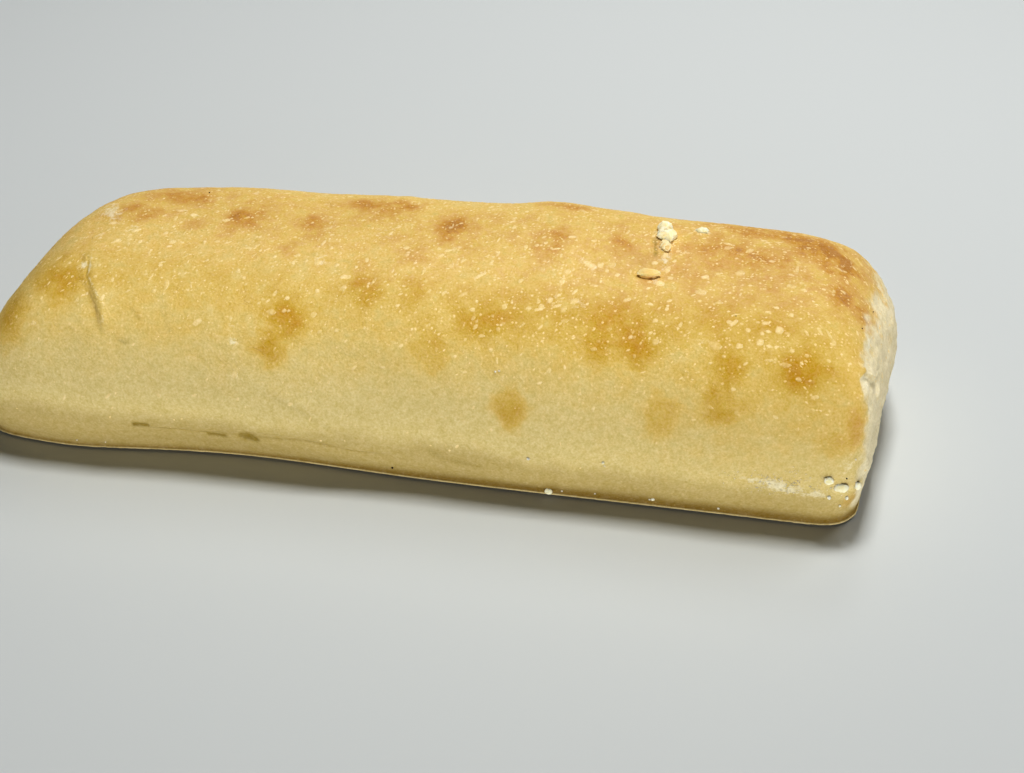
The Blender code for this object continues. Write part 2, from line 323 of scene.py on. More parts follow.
FOLD = (
    (-108.2, -15.1, 54.7), (-106.5, -18.8, 54.5), (-105.2, -25, 52.4), (-101.5, -30.2, 51.4),
    (-97.8, -35.2, 49.6), (-96.6, -39.5, 45.7), (-96.2, -42.8, 41.5),
)
SEAM = (
    (-90, -48, 14), (-80, -47, 13), (-68, -46, 12), (-53, -47, 13),
    (-35, -48.5, 14), (-19, -48, 12), (-4, -48, 11),
)
SOFT_RIDGE = ((-48.3, -45.5, 33.9), (-34.5, -47.2, 28.3), (-25.4, -48.3, 23.2), (-16.4, -48.5, 18.7))
BELOW_RIDGE = ((-46, -46, 31.4), (-34.5, -47.2, 26), (-25.4, -48.3, 21), (-16.4, -48.5, 16.5))


def beside(line, x_shift, y_shift):
    return tuple((x + x_shift, y + y_shift, z) for x, y, z in line)


CREASES = (
    # the fold of the left end, the ridge beside it, and wrinkles round it; their colours are painted shade,
    # or painted highlight where negative
    Crease(FOLD, 0.3, 0.03, 0.35),
    Crease(beside(FOLD, -1.0, -0.3), 1.4, -0.42, 0.0),
    # a pale painted highlight along the fold's raised edge
    Crease(beside(FOLD, 0.9, 0.3), 0.5, -0.08, -0.6),
    Crease(((-91.4, -41.8, 42.4), (-89.2, -42, 42.1), (-86.7, -41.7, 42.5)), 0.5, 0.14, 0.45),
    Crease(((-88.5, -34, 49.5), (-86.5, -36, 48), (-84, -37.5, 47)), 0.5, 0.1, 0.3),
    Crease(((-78.5, -34, 49), (-76.5, -37.3, 46.6), (-74, -40, 44)), 0.6, 0.08, 0.25),
    # the seam low on the front wall, and its three pits, darkened with painted shade
    Crease(SEAM, 0.5, 0.18, 0.5),
    Crease(((-89.5, -48.9, 14.1), (-86.5, -48.7, 14.2), (-83.5, -48.6, 13.8)), 0.85, 0.5, 1.6),
    Crease(((-67, -46.3, 10.8), (-62.8, -46.5, 11), (-59, -46.5, 11)), 0.75, 0.4, 1.3),
    Crease(((-56.5, -46.7, 12.4), (-53, -46.8, 11.9), (-49, -47.1, 10.8)), 1.2, 0.6, 1.6),
    # the soft ridge that runs down to it, and a wrinkle that carries it on
    Crease(SOFT_RIDGE, 1.6, -0.22, 0.0),
    Crease(BELOW_RIDGE, 0.9, 0.1, 0.15),
    Crease(((3, -47.8, 16.5), (9.5, -47.5, 12.2), (23, -48, 10.8)), 1.2, 0.12, 0.35),
    # the gap along the lump on the crown, darkened with painted shadow
    Crease(((66.3, 12.5, 59), (66.7, 6, 59), (67.3, 0.5, 58.4)), 0.45, 0.25, 0.8),
)
print("creases:", len(CREASES))

# %% [markdown]
# Each line is cut into short steps that lie on the skin, since a straight line
# between two far stops would run under it. The furrow has the cross-section of a
# soft V, fades in and out at its ends, and wanders in depth with a cloud.

# %% Cut the creases
STEP_MM = 2
ONE_NEVER_REACHED = 1e9
FADES_IN, FADES_OUT = (0, 0.15), (1, 0.8)
WANDERING = Cloud(0.7, 4.0, 6)


def laid_on_skin(line):
    """A line of stops, cut into short steps that lie on the skin."""
    stops = []
    for start, end in zip(line, line[1:]):
        start, end = Vector(start), Vector(end)
        steps = math.ceil((end - start).length / STEP_MM)
        stops += [start.lerp(end, step / steps) for step in range(steps)]
    stops.append(Vector(line[-1]))
    return [skin.find_nearest(stop * MM)[0] / MM for stop in stops]


def along_line(points, line):
    """How far points lie from a line of stops, and their share of its length."""
    stops = np.array(line, float)
    best = np.full(len(points), ONE_NEVER_REACHED)
    share = np.zeros(len(points))
    for index, (start, end) in enumerate(zip(stops, stops[1:])):
        way = end - start
        part = np.clip((points - start) @ way / (way @ way), 0, 1)
        distance = np.linalg.norm(points - start - part[:, None] * way, axis=1)
        nearer = distance < best
        best[nearer] = distance[nearer]
        share[nearer] = ((index + part) / (len(stops) - 1))[nearer]
    return best, share


furrow = np.zeros(len(places))
crease_shade = np.zeros(len(places))
ridge_highlight = np.zeros(len(places))
wander = 1 + cloudy(places, WANDERING)
for crease in CREASES:
    distance, share = along_line(places, laid_on_skin(crease.line))
    ends = smooth_step(*FADES_IN, share) * smooth_step(*FADES_OUT, share)
    cut = np.exp(-((distance / crease.width) ** 2)) * ends * wander
    furrow -= crease.depth * cut
    # positive colours paint shade into the furrow, negative ones paint a highlight
    crease_shade = np.maximum(crease_shade, crease.colour * cut)
    ridge_highlight = np.maximum(ridge_highlight, -crease.colour * cut)
print("deepest crease, mm:", furrow.min().round(2), "highest ridge:", furrow.max().round(2))

# %% [markdown]
# ## Lumps
# Crumbs of dried dough are baked on to the crown and the corner, and the solid has
# them as smooth lumps. The broken crumbs themselves are modelled further down, over
# these lumps. Here each lump is found again as an oval round its middle, and pulled
# in, so that the broken crumb covers it. The trail on the crown has no crumb: it is
# dough that has melted into the crust, so it stays a lump of the skin.

# %% Pull the lumps in
Lump = namedtuple("Lump", "middle half_sizes chips")

LUMPS = (
    Lump((69.3, 15.2, 60.3), (2.6, 2.4, 2.3), 3),
    Lump((70.2, 11.2, 60.4), (2.8, 2.4, 2.1), 3),
    Lump((69.0, 13.0, 60.4), (2.7, 2.2, 2.0), 1),
    Lump((68.9, 11.2, 60.2), (2.4, 2.0, 1.8), 1),
    Lump((69.7, 7.1, 59.8), (2.0, 2.9, 1.1), 0),
    Lump((80.6, 17.5, 58.9), (2.5, 1.5, 1.1), 1),
    Lump((65.8, -6.1, 58.9), (3.8, 1.8, 1.1), 1),
    Lump((123.9, -49.4, 21.9), (1.6, 1.2, 1.5), 1),
    Lump((127.9, -49.5, 19.4), (2.5, 1.3, 1.6), 2),
    Lump((132.7, -47.3, 19.0), (1.2, 1.1, 1.8), 1),
    Lump((41.5, -47.6, 2.9), (1.4, 1.1, 1.2), 2),
)
PULL_UNDER_CRUMB, PULL_BARE = 0.55, 0.15
PULLED_REACH = (1.35, 1.1)
PAINTED_REACH = (1.2, 1.05)
NEAREST_MIDDLE = 0.01

lumpy = np.zeros(len(places))
lump_pull = np.zeros_like(places)
for lump in LUMPS:
    away = (places - np.array(lump.middle)) / np.array(lump.half_sizes)
    far = np.linalg.norm(away, axis=1)
    lumpy = np.maximum(lumpy, smooth_step(*PAINTED_REACH, far))
    outward = away / np.maximum(far, NEAREST_MIDDLE)[:, None]
    pull = PULL_UNDER_CRUMB if lump.chips else PULL_BARE
    lump_pull -= outward * (pull * min(lump.half_sizes) * smooth_step(*PULLED_REACH, far))[:, None]
print("lump vertices:", int((lumpy > 0.5).sum()))

# %% [markdown]
# ## The rim of the base
# The loaf ends in a thin lip of base crust. Its sharp rim is found by the angle
# between its faces, and each vertex low on the wall gets its distance from it. The
# relief and the colour of the foot are both measured from there.

# %% Find the rim of the base
FAR_FROM_RIM = 99.0
NEAR_FOOT_MM = 26


def rim_vertices(mesh):
    """The vertices of the sharp rim that runs round the foot of the loaf."""
    found = set()
    shape = bmesh.new()
    shape.from_mesh(mesh)
    for edge in shape.edges:
        low = max(vert.co.z for vert in edge.verts) < FOOT_ZONE
        if low and edge.is_convex and edge.calc_face_angle() > RIM_ANGLE:
            found.update(vert.index for vert in edge.verts)
    shape.free()
    return sorted(found)


rim = rim_vertices(crust.data)
rim_tree = KDTree(len(rim))
for index in rim:
    rim_tree.insert(Vector(places[index]), index)
rim_tree.balance()
from_rim = np.full(len(places), FAR_FROM_RIM)
for index in np.where(places[:, 2] < NEAR_FOOT_MM)[0]:
    from_rim[index] = rim_tree.find(Vector(places[index]))[2]
rim_heights = places[rim][:, 2]
print("rim vertices:", len(rim), "at mm:", rim_heights.min().round(2), "to", rim_heights.max().round(2))

# %% [markdown]
# ## Relief of the skin
# Baked skin isn't smooth: it is faintly bubbled where it toasted, and torn and
# rough on the blunt end, where the loaf was pulled off its neighbour. The lip of
# the base is ragged. Each of these is a cloud of random values of its own size,
# which is let through only where the real skin has it, and is added along the
# normals. The relief fades out at the foot, so that the rim stays on the table, and
# the result is kept inside the box of the solid, since the loaf's size is fixed.

# %% Raise the relief
CROWN_BUBBLES = Cloud(0.2, 5.5, 1)
FINE_BUBBLES = Cloud(0.06, 2.2, 2)
TORN_CLODS = Cloud(0.6, 5.0, 3)
TORN_CRUMB = Cloud(0.45, 2.1, 4)
RAGGED_LIP = Cloud(0.34, 1.5, 5)
CROWN_FACES_UP = (0.2, 0.75)
TORN_FACES_END = (0.6, 0.8)
TORN_HEIGHTS = (8, 16)
UNDERNEATH = -0.6
LIP_REACH = (0.55, 0.15)
RELIEF_FROM_RIM = (0.0, 3.0)
RAGGED_FROM_RIM = (1.0, 0.0)
BASE_HEIGHT = 0.05
SHARP_EDGE = math.radians(48)

up = normals[:, 2]
crown = smooth_step(*CROWN_FACES_UP, up)
torn = smooth_step(*TORN_FACES_END, normals[:, 0]) * smooth_step(*TORN_HEIGHTS, places[:, 2])
above_rim = np.where(up > UNDERNEATH, 1.0, 0.0)
lip = smooth_step(*LIP_REACH, from_rim) * above_rim

bubbled = cloudy(places, CROWN_BUBBLES) * crown + cloudy(places, FINE_BUBBLES)
rough = cloudy(places, TORN_CLODS, TORN_CRUMB) * torn
lift = (bubbled + rough + furrow) * smooth_step(*RELIEF_FROM_RIM, from_rim)
lift[places[:, 2] < BASE_HEIGHT] = 0
ragged = cloudy(places, RAGGED_LIP) * smooth_step(*RAGGED_FROM_RIM, from_rim)
shaped = places + normals * lift[:, None] + lump_pull
shaped[:, 2] += ragged
outward = places * (1, 1, 0) / np.maximum(np.linalg.norm(places[:, :2], axis=1), 1)[:, None]
shaped += outward * ragged[:, None]
lowest, highest = (np.array(corner) / MM for corner in solid_box)
shaped = np.clip(shaped, lowest, highest)
crust.data.vertices.foreach_set("co", (shaped * MM).ravel())
crust.data.update()
crust.data.shade_smooth()
crust.data.set_sharp_from_angle(angle=SHARP_EDGE)
print("relief, mm:", lift.min().round(2), "to", lift.max().round(2))

# %% [markdown]
# ## Where the oven coloured the crust
# The crown is golden, and tan where the heat was strongest, with brown toasted
# spots where the skin had bubbled up. The walls stay pale. These are painted on
# the vertices, as one number each, which the material reads and breaks up with
# finer patterns. Painting listed spots one by one is how a baker's loaf gets its
# own spots rather than a pattern that repeats.

# %% Place the toasted spots
TOASTED_SPOTS = (
    Mark(-98.3, 5.4, 8.5, 6.0, 0, 0.85),
    Mark(-88.0, 17.0, 10.0, 4.5, 0, 0.7),
    Mark(-63.3, 9.4, 6.5, 7.5, 0, 0.8),
    Mark(-66.0, 4.0, 4.5, 6.0, 0, 0.4),
    Mark(-78.3, 1.1, 4.5, 3.5, 0, 0.35),
    Mark(-41.3, 4.2, 5.0, 6.5, 0, 0.65),
    Mark(-47.0, -4.0, 5.0, 5.0, 0, 0.25),
    Mark(-28.5, 21.3, 7.5, 5.0, 0, 0.75),
    Mark(-15.0, 20.4, 6.0, 5.0, 0, 0.7),
    Mark(-20.4, 16.1, 5.0, 5.0, 0, 0.45),
    Mark(3.4, 8.7, 6.0, 7.0, 0, 1.0),
    Mark(9.0, 1.0, 4.0, 4.0, 0, 0.35),
    Mark(-40.3, -33.2, 5.5, 6.5, 0, 1.0),
    Mark(-44.2, -43.5, 4.0, 5.0, 0, 0.8),
    Mark(-113.3, -27.9, 7.0, 7.0, 0, 0.7),
    Mark(-128.7, -42.0, 7.0, 8.0, 0, 0.7),
    Mark(-18.0, -22.2, 5.0, 5.0, 0, 0.75),
    Mark(-22.0, -12.0, 4.5, 6.0, 0, 0.3),
    Mark(-4.0, -20.0, 4.5, 5.0, 0, 0.55),
    Mark(-6.0, -6.0, 5.5, 5.0, 0, 0.3),
    Mark(18.5, -29.6, 7.0, 5.0, 20, 0.8),
    Mark(4.3, -39.5, 4.5, 5.5, 0, 0.6),
    Mark(29.5, -54.5, 4.5, 6.5, 0, 0.8),
    Mark(-45.0, -8.6, 3.5, 3.5, 0, 0.3),
    Mark(34.2, 4.4, 5.5, 6.5, 0, 0.75),
    Mark(56.4, 6.5, 6.0, 5.0, 0, 0.6),
    Mark(37.3, 25.7, 9.5, 5.0, 0, 0.8),
    Mark(53.4, -31.0, 4.2, 7.0, 0, 0.75),
    Mark(64.4, -33.0, 5.0, 5.0, 0, 0.85),
    Mark(61.0, -22.5, 9.0, 6.0, 0, 0.4),
    Mark(88.6, 6.9, 9.0, 6.0, 0, 0.45),
    Mark(101.1, 5.1, 9.0, 5.0, 0, 0.35),
    Mark(96.0, 24.0, 13.0, 6.0, 0, 0.6),
    Mark(115.5, 15.5, 9.0, 6.5, 0, 0.95),
    Mark(123.0, 9.0, 6.5, 7.0, 0, 0.9),
    Mark(123.6, -7.1, 5.0, 7.0, 0, 0.7),
    Mark(130.5, -10.2, 4.0, 6.0, 0, 0.85),
    Mark(113.0, -36.0, 6.5, 5.5, 30, 1.0),
    Mark(91.5, -36.5, 5.0, 6.5, 0, 0.65),
    Mark(90.9, -48.0, 5.0, 5.0, 0, 0.7),
    Mark(95.0, -22.0, 14.0, 6.0, 0, 0.3),
    Mark(129.5, -49.0, 3.5, 6.0, 0, 0.8),
    Mark(123.0, -54.5, 4.5, 4.0, 0, 0.5),
    Mark(73.5, -52.0, 4.5, 6.0, 0, 0.5),
    Mark(132.0, -76.0, 3.0, 3.5, 0, 0.8),
)

TANNED_PARTS = (
    Mark(88, 0, 48, 24, 0, 0.45),
    Mark(112, 12, 26, 22, 0, 0.4),
    Mark(104, 34, 34, 9, 0, 0.5),
    Mark(40, -22, 26, 10, 0, 0.2),
    Mark(118, -40, 20, 12, 0, 0.25),
    Mark(-60, 14, 60, 14, 0, 0.15),
    Mark(-92, 24, 20, 8, 0, 0.5),
    Mark(0, 8, 40, 14, 0, 0.2),
    Mark(45, -26, 34, 9, 0, 0.16),
    Mark(100, -58, 40, 14, 0, 0.16),
)
print("toasted spots:", len(TOASTED_SPOTS), "tanned parts:", len(TANNED_PARTS))

# %% [markdown]
# How much each point was toasted is the sum of the spots, with a cloud that makes
# their outlines ragged. The tan is even over the crown, fades down the front and
# the back, and has broad stronger parts. Both are kept apart from a third number,
# which says where the front shoulder is.

# %% Paint the toasting
SPOT_FLATNESS = 1.5
SPOT_RAGGEDNESS = (Cloud(0.55, 5.0, 21), Cloud(0.55, 2.2, 22))
CROWN_TAN = 0.55
TAN_FADES_FRONT, TAN_FADES_BACK = (-64, -12), (75, 40)
SHOULDER_TURNS, SHOULDER_ENDS = (-8, -27), (136, 118)


def paint(thing, name, values):
    """Stores a number of 0 to 1 on each vertex, for the material to read."""
    layer = thing.data.attributes.new(name, "FLOAT", "POINT")
    layer.data.foreach_set("value", np.clip(values, 0, 1).astype(np.float32))


def turn_of(points):
    return np.degrees(np.arctan2(points[:, 1], points[:, 2]))


def toast_at(points):
    """The toasted spots, with flat middles and ragged outlines."""
    ragged = np.exp(cloudy(points, *SPOT_RAGGEDNESS))
    return covered(TOASTED_SPOTS, points, ragged, SPOT_FLATNESS)


def tan_at(points):
    round_front = smooth_step(*TAN_FADES_FRONT, turn_of(points))
    round_back = smooth_step(*TAN_FADES_BACK, turn_of(points))
    return CROWN_TAN * round_front * round_back + covered(TANNED_PARTS, points)


def shoulder_at(points):
    """The front shoulder, which turned a deeper yellow gold than the crown."""
    return smooth_step(*SHOULDER_TURNS, turn_of(points)) * smooth_step(*SHOULDER_ENDS, points[:, 0])


paint(crust, "toast", toast_at(shaped))
paint(crust, "tan", tan_at(shaped))
paint(crust, "shoulder", shoulder_at(shaped))
print("toasted spots:", len(TOASTED_SPOTS))

# %% [markdown]
# ## Where it stayed pale, was marked, or is painted darker
# Torn skin and dusted flour are paler than the crust. The foot of the loaf, right
# above its pale lip, is browner, partly because it baked against the hot stone and
# partly as painted shade where the wall turns under. A faint painted shade, darker
# towards the bottom, reaches up to the seam. Creases get painted shade and a little
# more colour, and the fold's ridge gets a pale painted highlight.

# %% Paint the pale and the dark places
FLOURED_PARTS = (
    Mark(-108, 6, 4, 9, 30, 0.8),
    Mark(-107.5, -22, 2.0, 2.0, 0, 0.8),
    Mark(-97, -4, 3, 3, 30, 0.55),
    Mark(103, -70.5, 5, 1.5, 0, 0.65),
    Mark(111, -72, 5.5, 2.6, 0, 0.85),
    Mark(121, -73.5, 6, 1.7, 0, 0.7),
    Mark(-56.8, -37.5, 1.0, 3.5, 10, 0.6),
    Mark(-55.6, -42.5, 1.6, 1.4, 0, 0.8),
    Mark(-34, -12, 3, 3, 40, 0.6),
    Mark(-17, 4, 6, 5, 20, 0.4),
    Mark(38, -19, 3.5, 2.5, 20, 0.5),
    Mark(46, -21, 3.0, 2.5, 20, 0.5),
    Mark(47.5, -4, 4.5, 2.0, -32, 0.6),
    Mark(70, 1, 2.0, 5, 0, 0.8),
    Mark(68, -9, 2.0, 2.5, 0, 0.7),
    Mark(84, -30, 4, 3, 30, 0.4),
    Mark(132.0, -21, 2.2, 5, 0, 1.0),
    Mark(131.0, -36, 2.5, 3.5, 0, 0.9),
    Mark(128.0, -62, 3.0, 5, 0, 0.5),
)
PALE_RAGGEDNESS = (Cloud(0.16, 7, 33), Cloud(0.12, 2.5, 34))
PALE_FACES_END, PALE_HEIGHTS = (0.66, 0.84), (4, 10)
# the foot band: browning from the stone, with painted shade where the wall turns under
FOOT_TALL_LEFT, FOOT_TALL_RIGHT = 1.5, 3.9
FOOT_GROWS_ALONG = (-60, 50)
# the low wall: a faint painted shade, darker towards the bottom, up to the seam
LOW_WALL_TALL_LEFT, LOW_WALL_TALL_RIGHT = 18.0, 14.0
LOW_WALL_CHANGES_ALONG = (-20, 60)
LOW_WALL_RAGGEDNESS = (Cloud(2.5, 28, 31), Cloud(1.5, 7, 32))
LOW_WALL_SOFT = 4.0
LOW_WALL_SHADE_SHARE = 0.35
UNDER_FACES_DOWN = (-0.6, -0.85)


def pale_at(points, directions):
    """The torn end, with a ragged border."""
    ragged = cloudy(points, *PALE_RAGGEDNESS)
    return smooth_step(*PALE_FACES_END, directions[:, 0] + ragged) * smooth_step(*PALE_HEIGHTS, points[:, 2])


def browned_and_shaded_foot_at(points, gap):
    """Browned foot with painted shade: strongest at the rim, taller to the blunt end, and a thin painted
    shade up to the seam.
    """
    grown = smooth_step(*FOOT_GROWS_ALONG, points[:, 0])
    tall = FOOT_TALL_LEFT + (FOOT_TALL_RIGHT - FOOT_TALL_LEFT) * grown
    changed = smooth_step(*LOW_WALL_CHANGES_ALONG, points[:, 0])
    low = LOW_WALL_TALL_LEFT + (LOW_WALL_TALL_RIGHT - LOW_WALL_TALL_LEFT) * changed
    low += cloudy(points, *LOW_WALL_RAGGEDNESS)
    low_wall_shade = LOW_WALL_SHADE_SHARE * smooth_step(low + LOW_WALL_SOFT, low - LOW_WALL_SOFT, gap)
    return low_wall_shade + (1 - low_wall_shade) * np.exp(-((gap / tall) ** 2))


paint(crust, "pale", pale_at(shaped, normals))
# flour, with the painted highlight along the fold's ridge added
paint(crust, "flour", covered(FLOURED_PARTS, shaped) + ridge_highlight)
# browning and painted shade at the foot and low on the wall
paint(crust, "foot", browned_and_shaded_foot_at(shaped, from_rim) * above_rim)
paint(crust, "lip", lip)
# painted shade in the creases
paint(crust, "crease", crease_shade)
paint(crust, "lump", lumpy)
paint(crust, "under", smooth_step(*UNDER_FACES_DOWN, up))
paint(crust, "blister", np.zeros(len(places)))
print("painted layers:", [layer.name for layer in crust.data.attributes if layer.data_type == "FLOAT"])

# %% [markdown]
# ## Building a material in code
# A material is a tree of nodes. One small function adds a node with its settings,
# and links whatever is given as a node or as one of its outputs. Sockets are found
# by their identifier, which stays the same when a node shows other sockets.

# %% Add nodes with one function
def result_of(node):
    """The first output of a node that is switched on."""
    return next(socket for socket in node.outputs if socket.enabled)


def add_node(tree, kind, **given):
    """Adds a node. What is given sets a property or a socket of that name, or is linked to it."""
    node = tree.nodes.new("ShaderNode" + kind)
    for name, value in given.items():
        if isinstance(value, bpy.types.Node):
            value = result_of(value)
        if not isinstance(value, bpy.types.NodeSocket) and hasattr(node, name):
            setattr(node, name, value)
            continue
        socket = next(socket for socket in node.inputs if socket.identifier == name)
        if isinstance(value, bpy.types.NodeSocket):
            tree.links.new(value, socket)
        else:
            socket.default_value = value
    return node


print("every node below is made by", add_node.__name__)

# %% [markdown]
# ## Crust material
# Baked wheat crust is a dry, matte skin of browned starch: no metal, rough, with
# only a faint gloss on the crown. Its colour runs from cream through gold and
# ochre to brown as it toasts, so one run of colours, read by how much the oven
# gave, keeps all the in-between tones right. The shoulder that faces us has a run
# of its own, which is yellower. The pattern sizes are real sizes.

# %% Start the crust finish
CRUST_ROUGHNESS = 0.6
CRUST_GLOSS = 0.25

WALL_COLOUR = "#dcca91"
CROWN_RUN = ((0.28, "#dfc179"), (0.5, "#d5b16d"), (0.76, "#c99b52"), (1.0, "#b8894a"))
SHOULDER_RUN = ((0.2, "#d7bb6f"), (0.42, "#caa951"), (0.68, "#c49c3d"), (0.95, "#bd8f28"))

MOTTLE_MM = 6.0
FINE_MOTTLE_MM = 2.0
GRAIN_MM = 0.7
LAYER_NAMES = (
    "toast", "tan", "shoulder", "pale", "flour", "foot", "lip", "crease", "lump", "under", "blister",
)

crust_finish = bpy.data.materials.new("baked wheat crust")
crust_finish.use_nodes = True
tree = crust_finish.node_tree
shader = tree.nodes["Principled BSDF"]
shader.inputs["Roughness"].default_value = CRUST_ROUGHNESS
shader.inputs["Specular IOR Level"].default_value = CRUST_GLOSS
where = add_node(tree, "TexCoord").outputs["Object"]
painted = {name: add_node(tree, "Attribute", attribute_name=name).outputs["Fac"] for name in LAYER_NAMES}
print("crust finish reads", LAYER_NAMES)

# %% [markdown]
# The mottling breaks the painted areas up, so that no edge of a spot is a clean
# oval. Three clouds of different size do it, each measured from its middle value
# of 0.5, and they shift the toasting most where there is toasting.

# %% Break the toasting up
CLOUD_ROUGHNESS = 0.6
OVEN_SHARE = 0.46
BROKEN_UP = (("mottle", 0.16, 0.95), ("fine", 0.05, 0.5), ("grain", 0.0, 0.1))

clouds = {}
for name, size, detail in (("mottle", MOTTLE_MM, 4), ("fine", FINE_MOTTLE_MM, 3), ("grain", GRAIN_MM, 2)):
    scale = 1 / (size * MM)
    cloud = add_node(tree, "TexNoise", Vector=where, Scale=scale, Detail=detail, Roughness=CLOUD_ROUGHNESS)
    clouds[name] = add_node(tree, "Math", operation="SUBTRACT", Value=cloud, Value_001=0.5)

baked = add_node(tree, "Math", operation="ADD", Value=painted["tan"], Value_001=painted["toast"])
oven = add_node(tree, "Math", operation="MULTIPLY", Value=baked, Value_001=OVEN_SHARE)
for name, everywhere, where_baked in BROKEN_UP:
    reach = add_node(
        tree, "Math", operation="MULTIPLY_ADD", Value=baked, Value_001=where_baked, Value_002=everywhere
    )
    oven = add_node(
        tree, "Math", operation="MULTIPLY_ADD", Value=clouds[name], Value_001=reach, Value_002=oven
    )
print("toasting broken up by", list(clouds))

# %% [markdown]
# A colour ramp turns how much the oven gave into a colour. Both runs start at the
# cream of the wall, and the number painted for the shoulder mixes the two.

# %% Read the colour of the crust
runs = []
for run in (CROWN_RUN, SHOULDER_RUN):
    browning = add_node(tree, "ValToRGB", Fac=oven)
    stops = browning.color_ramp.elements
    stops[0].position, stops[0].color = 0.0, linear(WALL_COLOUR)
    stops[1].position, stops[1].color = run[-1][0], linear(run[-1][1])
    for position, hex_colour in run[:-1]:
        stops.new(position).color = linear(hex_colour)
    runs.append(browning)
colour = add_node(
    tree, "Mix", data_type="RGBA", Factor_Float=painted["shoulder"], A_Color=runs[0], B_Color=runs[1]
)
print("browning from", WALL_COLOUR, "to", CROWN_RUN[-1][1], "and", SHOULDER_RUN[-1][1])

# %% [markdown]
# The skin is full of pale dots smaller than the blisters that are modelled, and of
# flat pale flecks where a blister has burst. Both are cells of a Voronoi pattern:
# each cell draws a lot, which decides whether it has a dot and how wide it is.
# The flecks lie on clouded coordinates, which makes their outlines uneven.

# %% Dot and fleck the skin
DOT_MM, DOT_LOT, DOT_GROWTH = 1.1, 0.45, 0.85
FLECK_MM, FLECK_LOT, FLECK_GROWTH = 3.2, 0.72, 1.1
EDGE_SHARPNESS = 7.0
DENT_SIZE_MM, DENTED_MM = 1.5, 1.6
MORE_WHERE_TAN, LEAST_SPOTTED = 1.3, 0.15

dents = add_node(tree, "TexNoise", Vector=where, Scale=1 / (DENT_SIZE_MM * MM), Detail=2).outputs["Color"]
dented = add_node(
    tree, "VectorMath", operation="MULTIPLY_ADD", Vector=dents, Vector_001=(DENTED_MM * MM,) * 3,
    Vector_002=where,
)
spots = {}
for name, size, lot, growth, places_read in (
    ("dot", DOT_MM, DOT_LOT, DOT_GROWTH, where),
    ("fleck", FLECK_MM, FLECK_LOT, FLECK_GROWTH, dented),
):
    cells = add_node(tree, "TexVoronoi", Vector=places_read, Scale=1 / (size * MM))
    drawn = add_node(tree, "SeparateColor", Color=cells.outputs["Color"])
    radius = add_node(tree, "Math", operation="SUBTRACT", Value=drawn, Value_001=lot)
    radius = add_node(tree, "Math", operation="MULTIPLY", Value=radius, Value_001=growth)
    inside = add_node(tree, "Math", operation="SUBTRACT", Value=radius, Value_001=cells.outputs["Distance"])
    spots[name] = add_node(
        tree, "Math", operation="MULTIPLY", Value=inside, Value_001=EDGE_SHARPNESS, use_clamp=True
    )
on_crown = add_node(
    tree, "Math", operation="MULTIPLY_ADD", Value=painted["tan"], Value_001=MORE_WHERE_TAN,
    Value_002=LEAST_SPOTTED, use_clamp=True,
)
for name in spots:
    spots[name] = add_node(tree, "Math", operation="MULTIPLY", Value=spots[name], Value_001=on_crown)
print("dots every", DOT_MM, "mm, flecks every", FLECK_MM, "mm")

# %% [markdown]
# Flour lies in patches and grains, not as an even film. So the painted flour is
# broken up by two clouds, what is left of it gets a harder edge, and it never
# reaches past where it was painted.

# %% Break the flour up
FLOUR_PATCHINESS = 2.0
FLOUR_GRAININESS = 0.9
FLOUR_EDGE = 2.2
FLOUR_BARE = 0.35

# the flour layer also carries the painted highlight along the fold's ridge
patchy = painted["flour"]
for name, share in (("fine", FLOUR_PATCHINESS), ("grain", FLOUR_GRAININESS)):
    patchy = add_node(
        tree, "Math", operation="MULTIPLY_ADD", Value=clouds[name], Value_001=share, Value_002=patchy
    )
patchy = add_node(tree, "Math", operation="SUBTRACT", Value=patchy, Value_001=FLOUR_BARE)
patchy = add_node(tree, "Math", operation="MULTIPLY", Value=patchy, Value_001=FLOUR_EDGE, use_clamp=True)
flour_and_highlight_here = add_node(
    tree, "Math", operation="MULTIPLY", Value=patchy, Value_001=painted["flour"], use_clamp=True
)
print("flour bare below", FLOUR_BARE)

# %% [markdown]
# On top of the browning lie the pale and the dark places, one layer after the
# other, each mixed in by what was painted for it. Last come small changes of light
# and dark. A darker grain of crust is also deeper in colour, since it is thicker
# or more toasted, so the saturation rises as the brightness falls.

# %% Lay the pale and dark places over it
OVER_THE_BROWNING = (
    (painted["under"], "#c2a878", 1.0),
    # the foot: browning and painted shade
    (painted["foot"], "#80641a", 0.9),
    (painted["lip"], "#e6d7a4", 1.0),
    (painted["pale"], "#eadfbe", 0.9),
    # flour, and the painted highlight along the fold's ridge
    (flour_and_highlight_here, "#efe7ca", 0.8),
    # painted shade in the creases
    (painted["crease"], "#96823a", 0.8),
    (spots["dot"], "#f0d9a2", 0.7),
    (spots["fleck"], "#ecd7a2", 0.55),
    (painted["blister"], "#f2dca8", 0.9),
    (painted["lump"], "#ecdfb6", 0.9),
)
LIGHT_AND_DARK = (("mottle", 0.12), ("fine", 0.3), ("grain", 0.36))
DARKER_IS_DEEPER = 1.1

for share, hex_colour, cover in OVER_THE_BROWNING:
    covering = add_node(tree, "Math", operation="MULTIPLY", Value=share, Value_001=cover)
    colour = add_node(
        tree, "Mix", data_type="RGBA", Factor_Float=covering, A_Color=colour, B_Color=linear(hex_colour)
    )

brightness = 1.0
for name, share in LIGHT_AND_DARK:
    brightness = add_node(
        tree, "Math", operation="MULTIPLY_ADD", Value=clouds[name], Value_001=share, Value_002=brightness
    )
deepness = add_node(
    tree, "Math", operation="MULTIPLY_ADD", Value=brightness, Value_001=-DARKER_IS_DEEPER,
    Value_002=1 + DARKER_IS_DEEPER,
)
grainy = add_node(tree, "HueSaturation", Color=colour, Value=brightness, Saturation=deepness)
tree.links.new(result_of(grainy), shader.inputs["Base Color"])
print("layers over the browning:", len(OVER_THE_BROWNING))

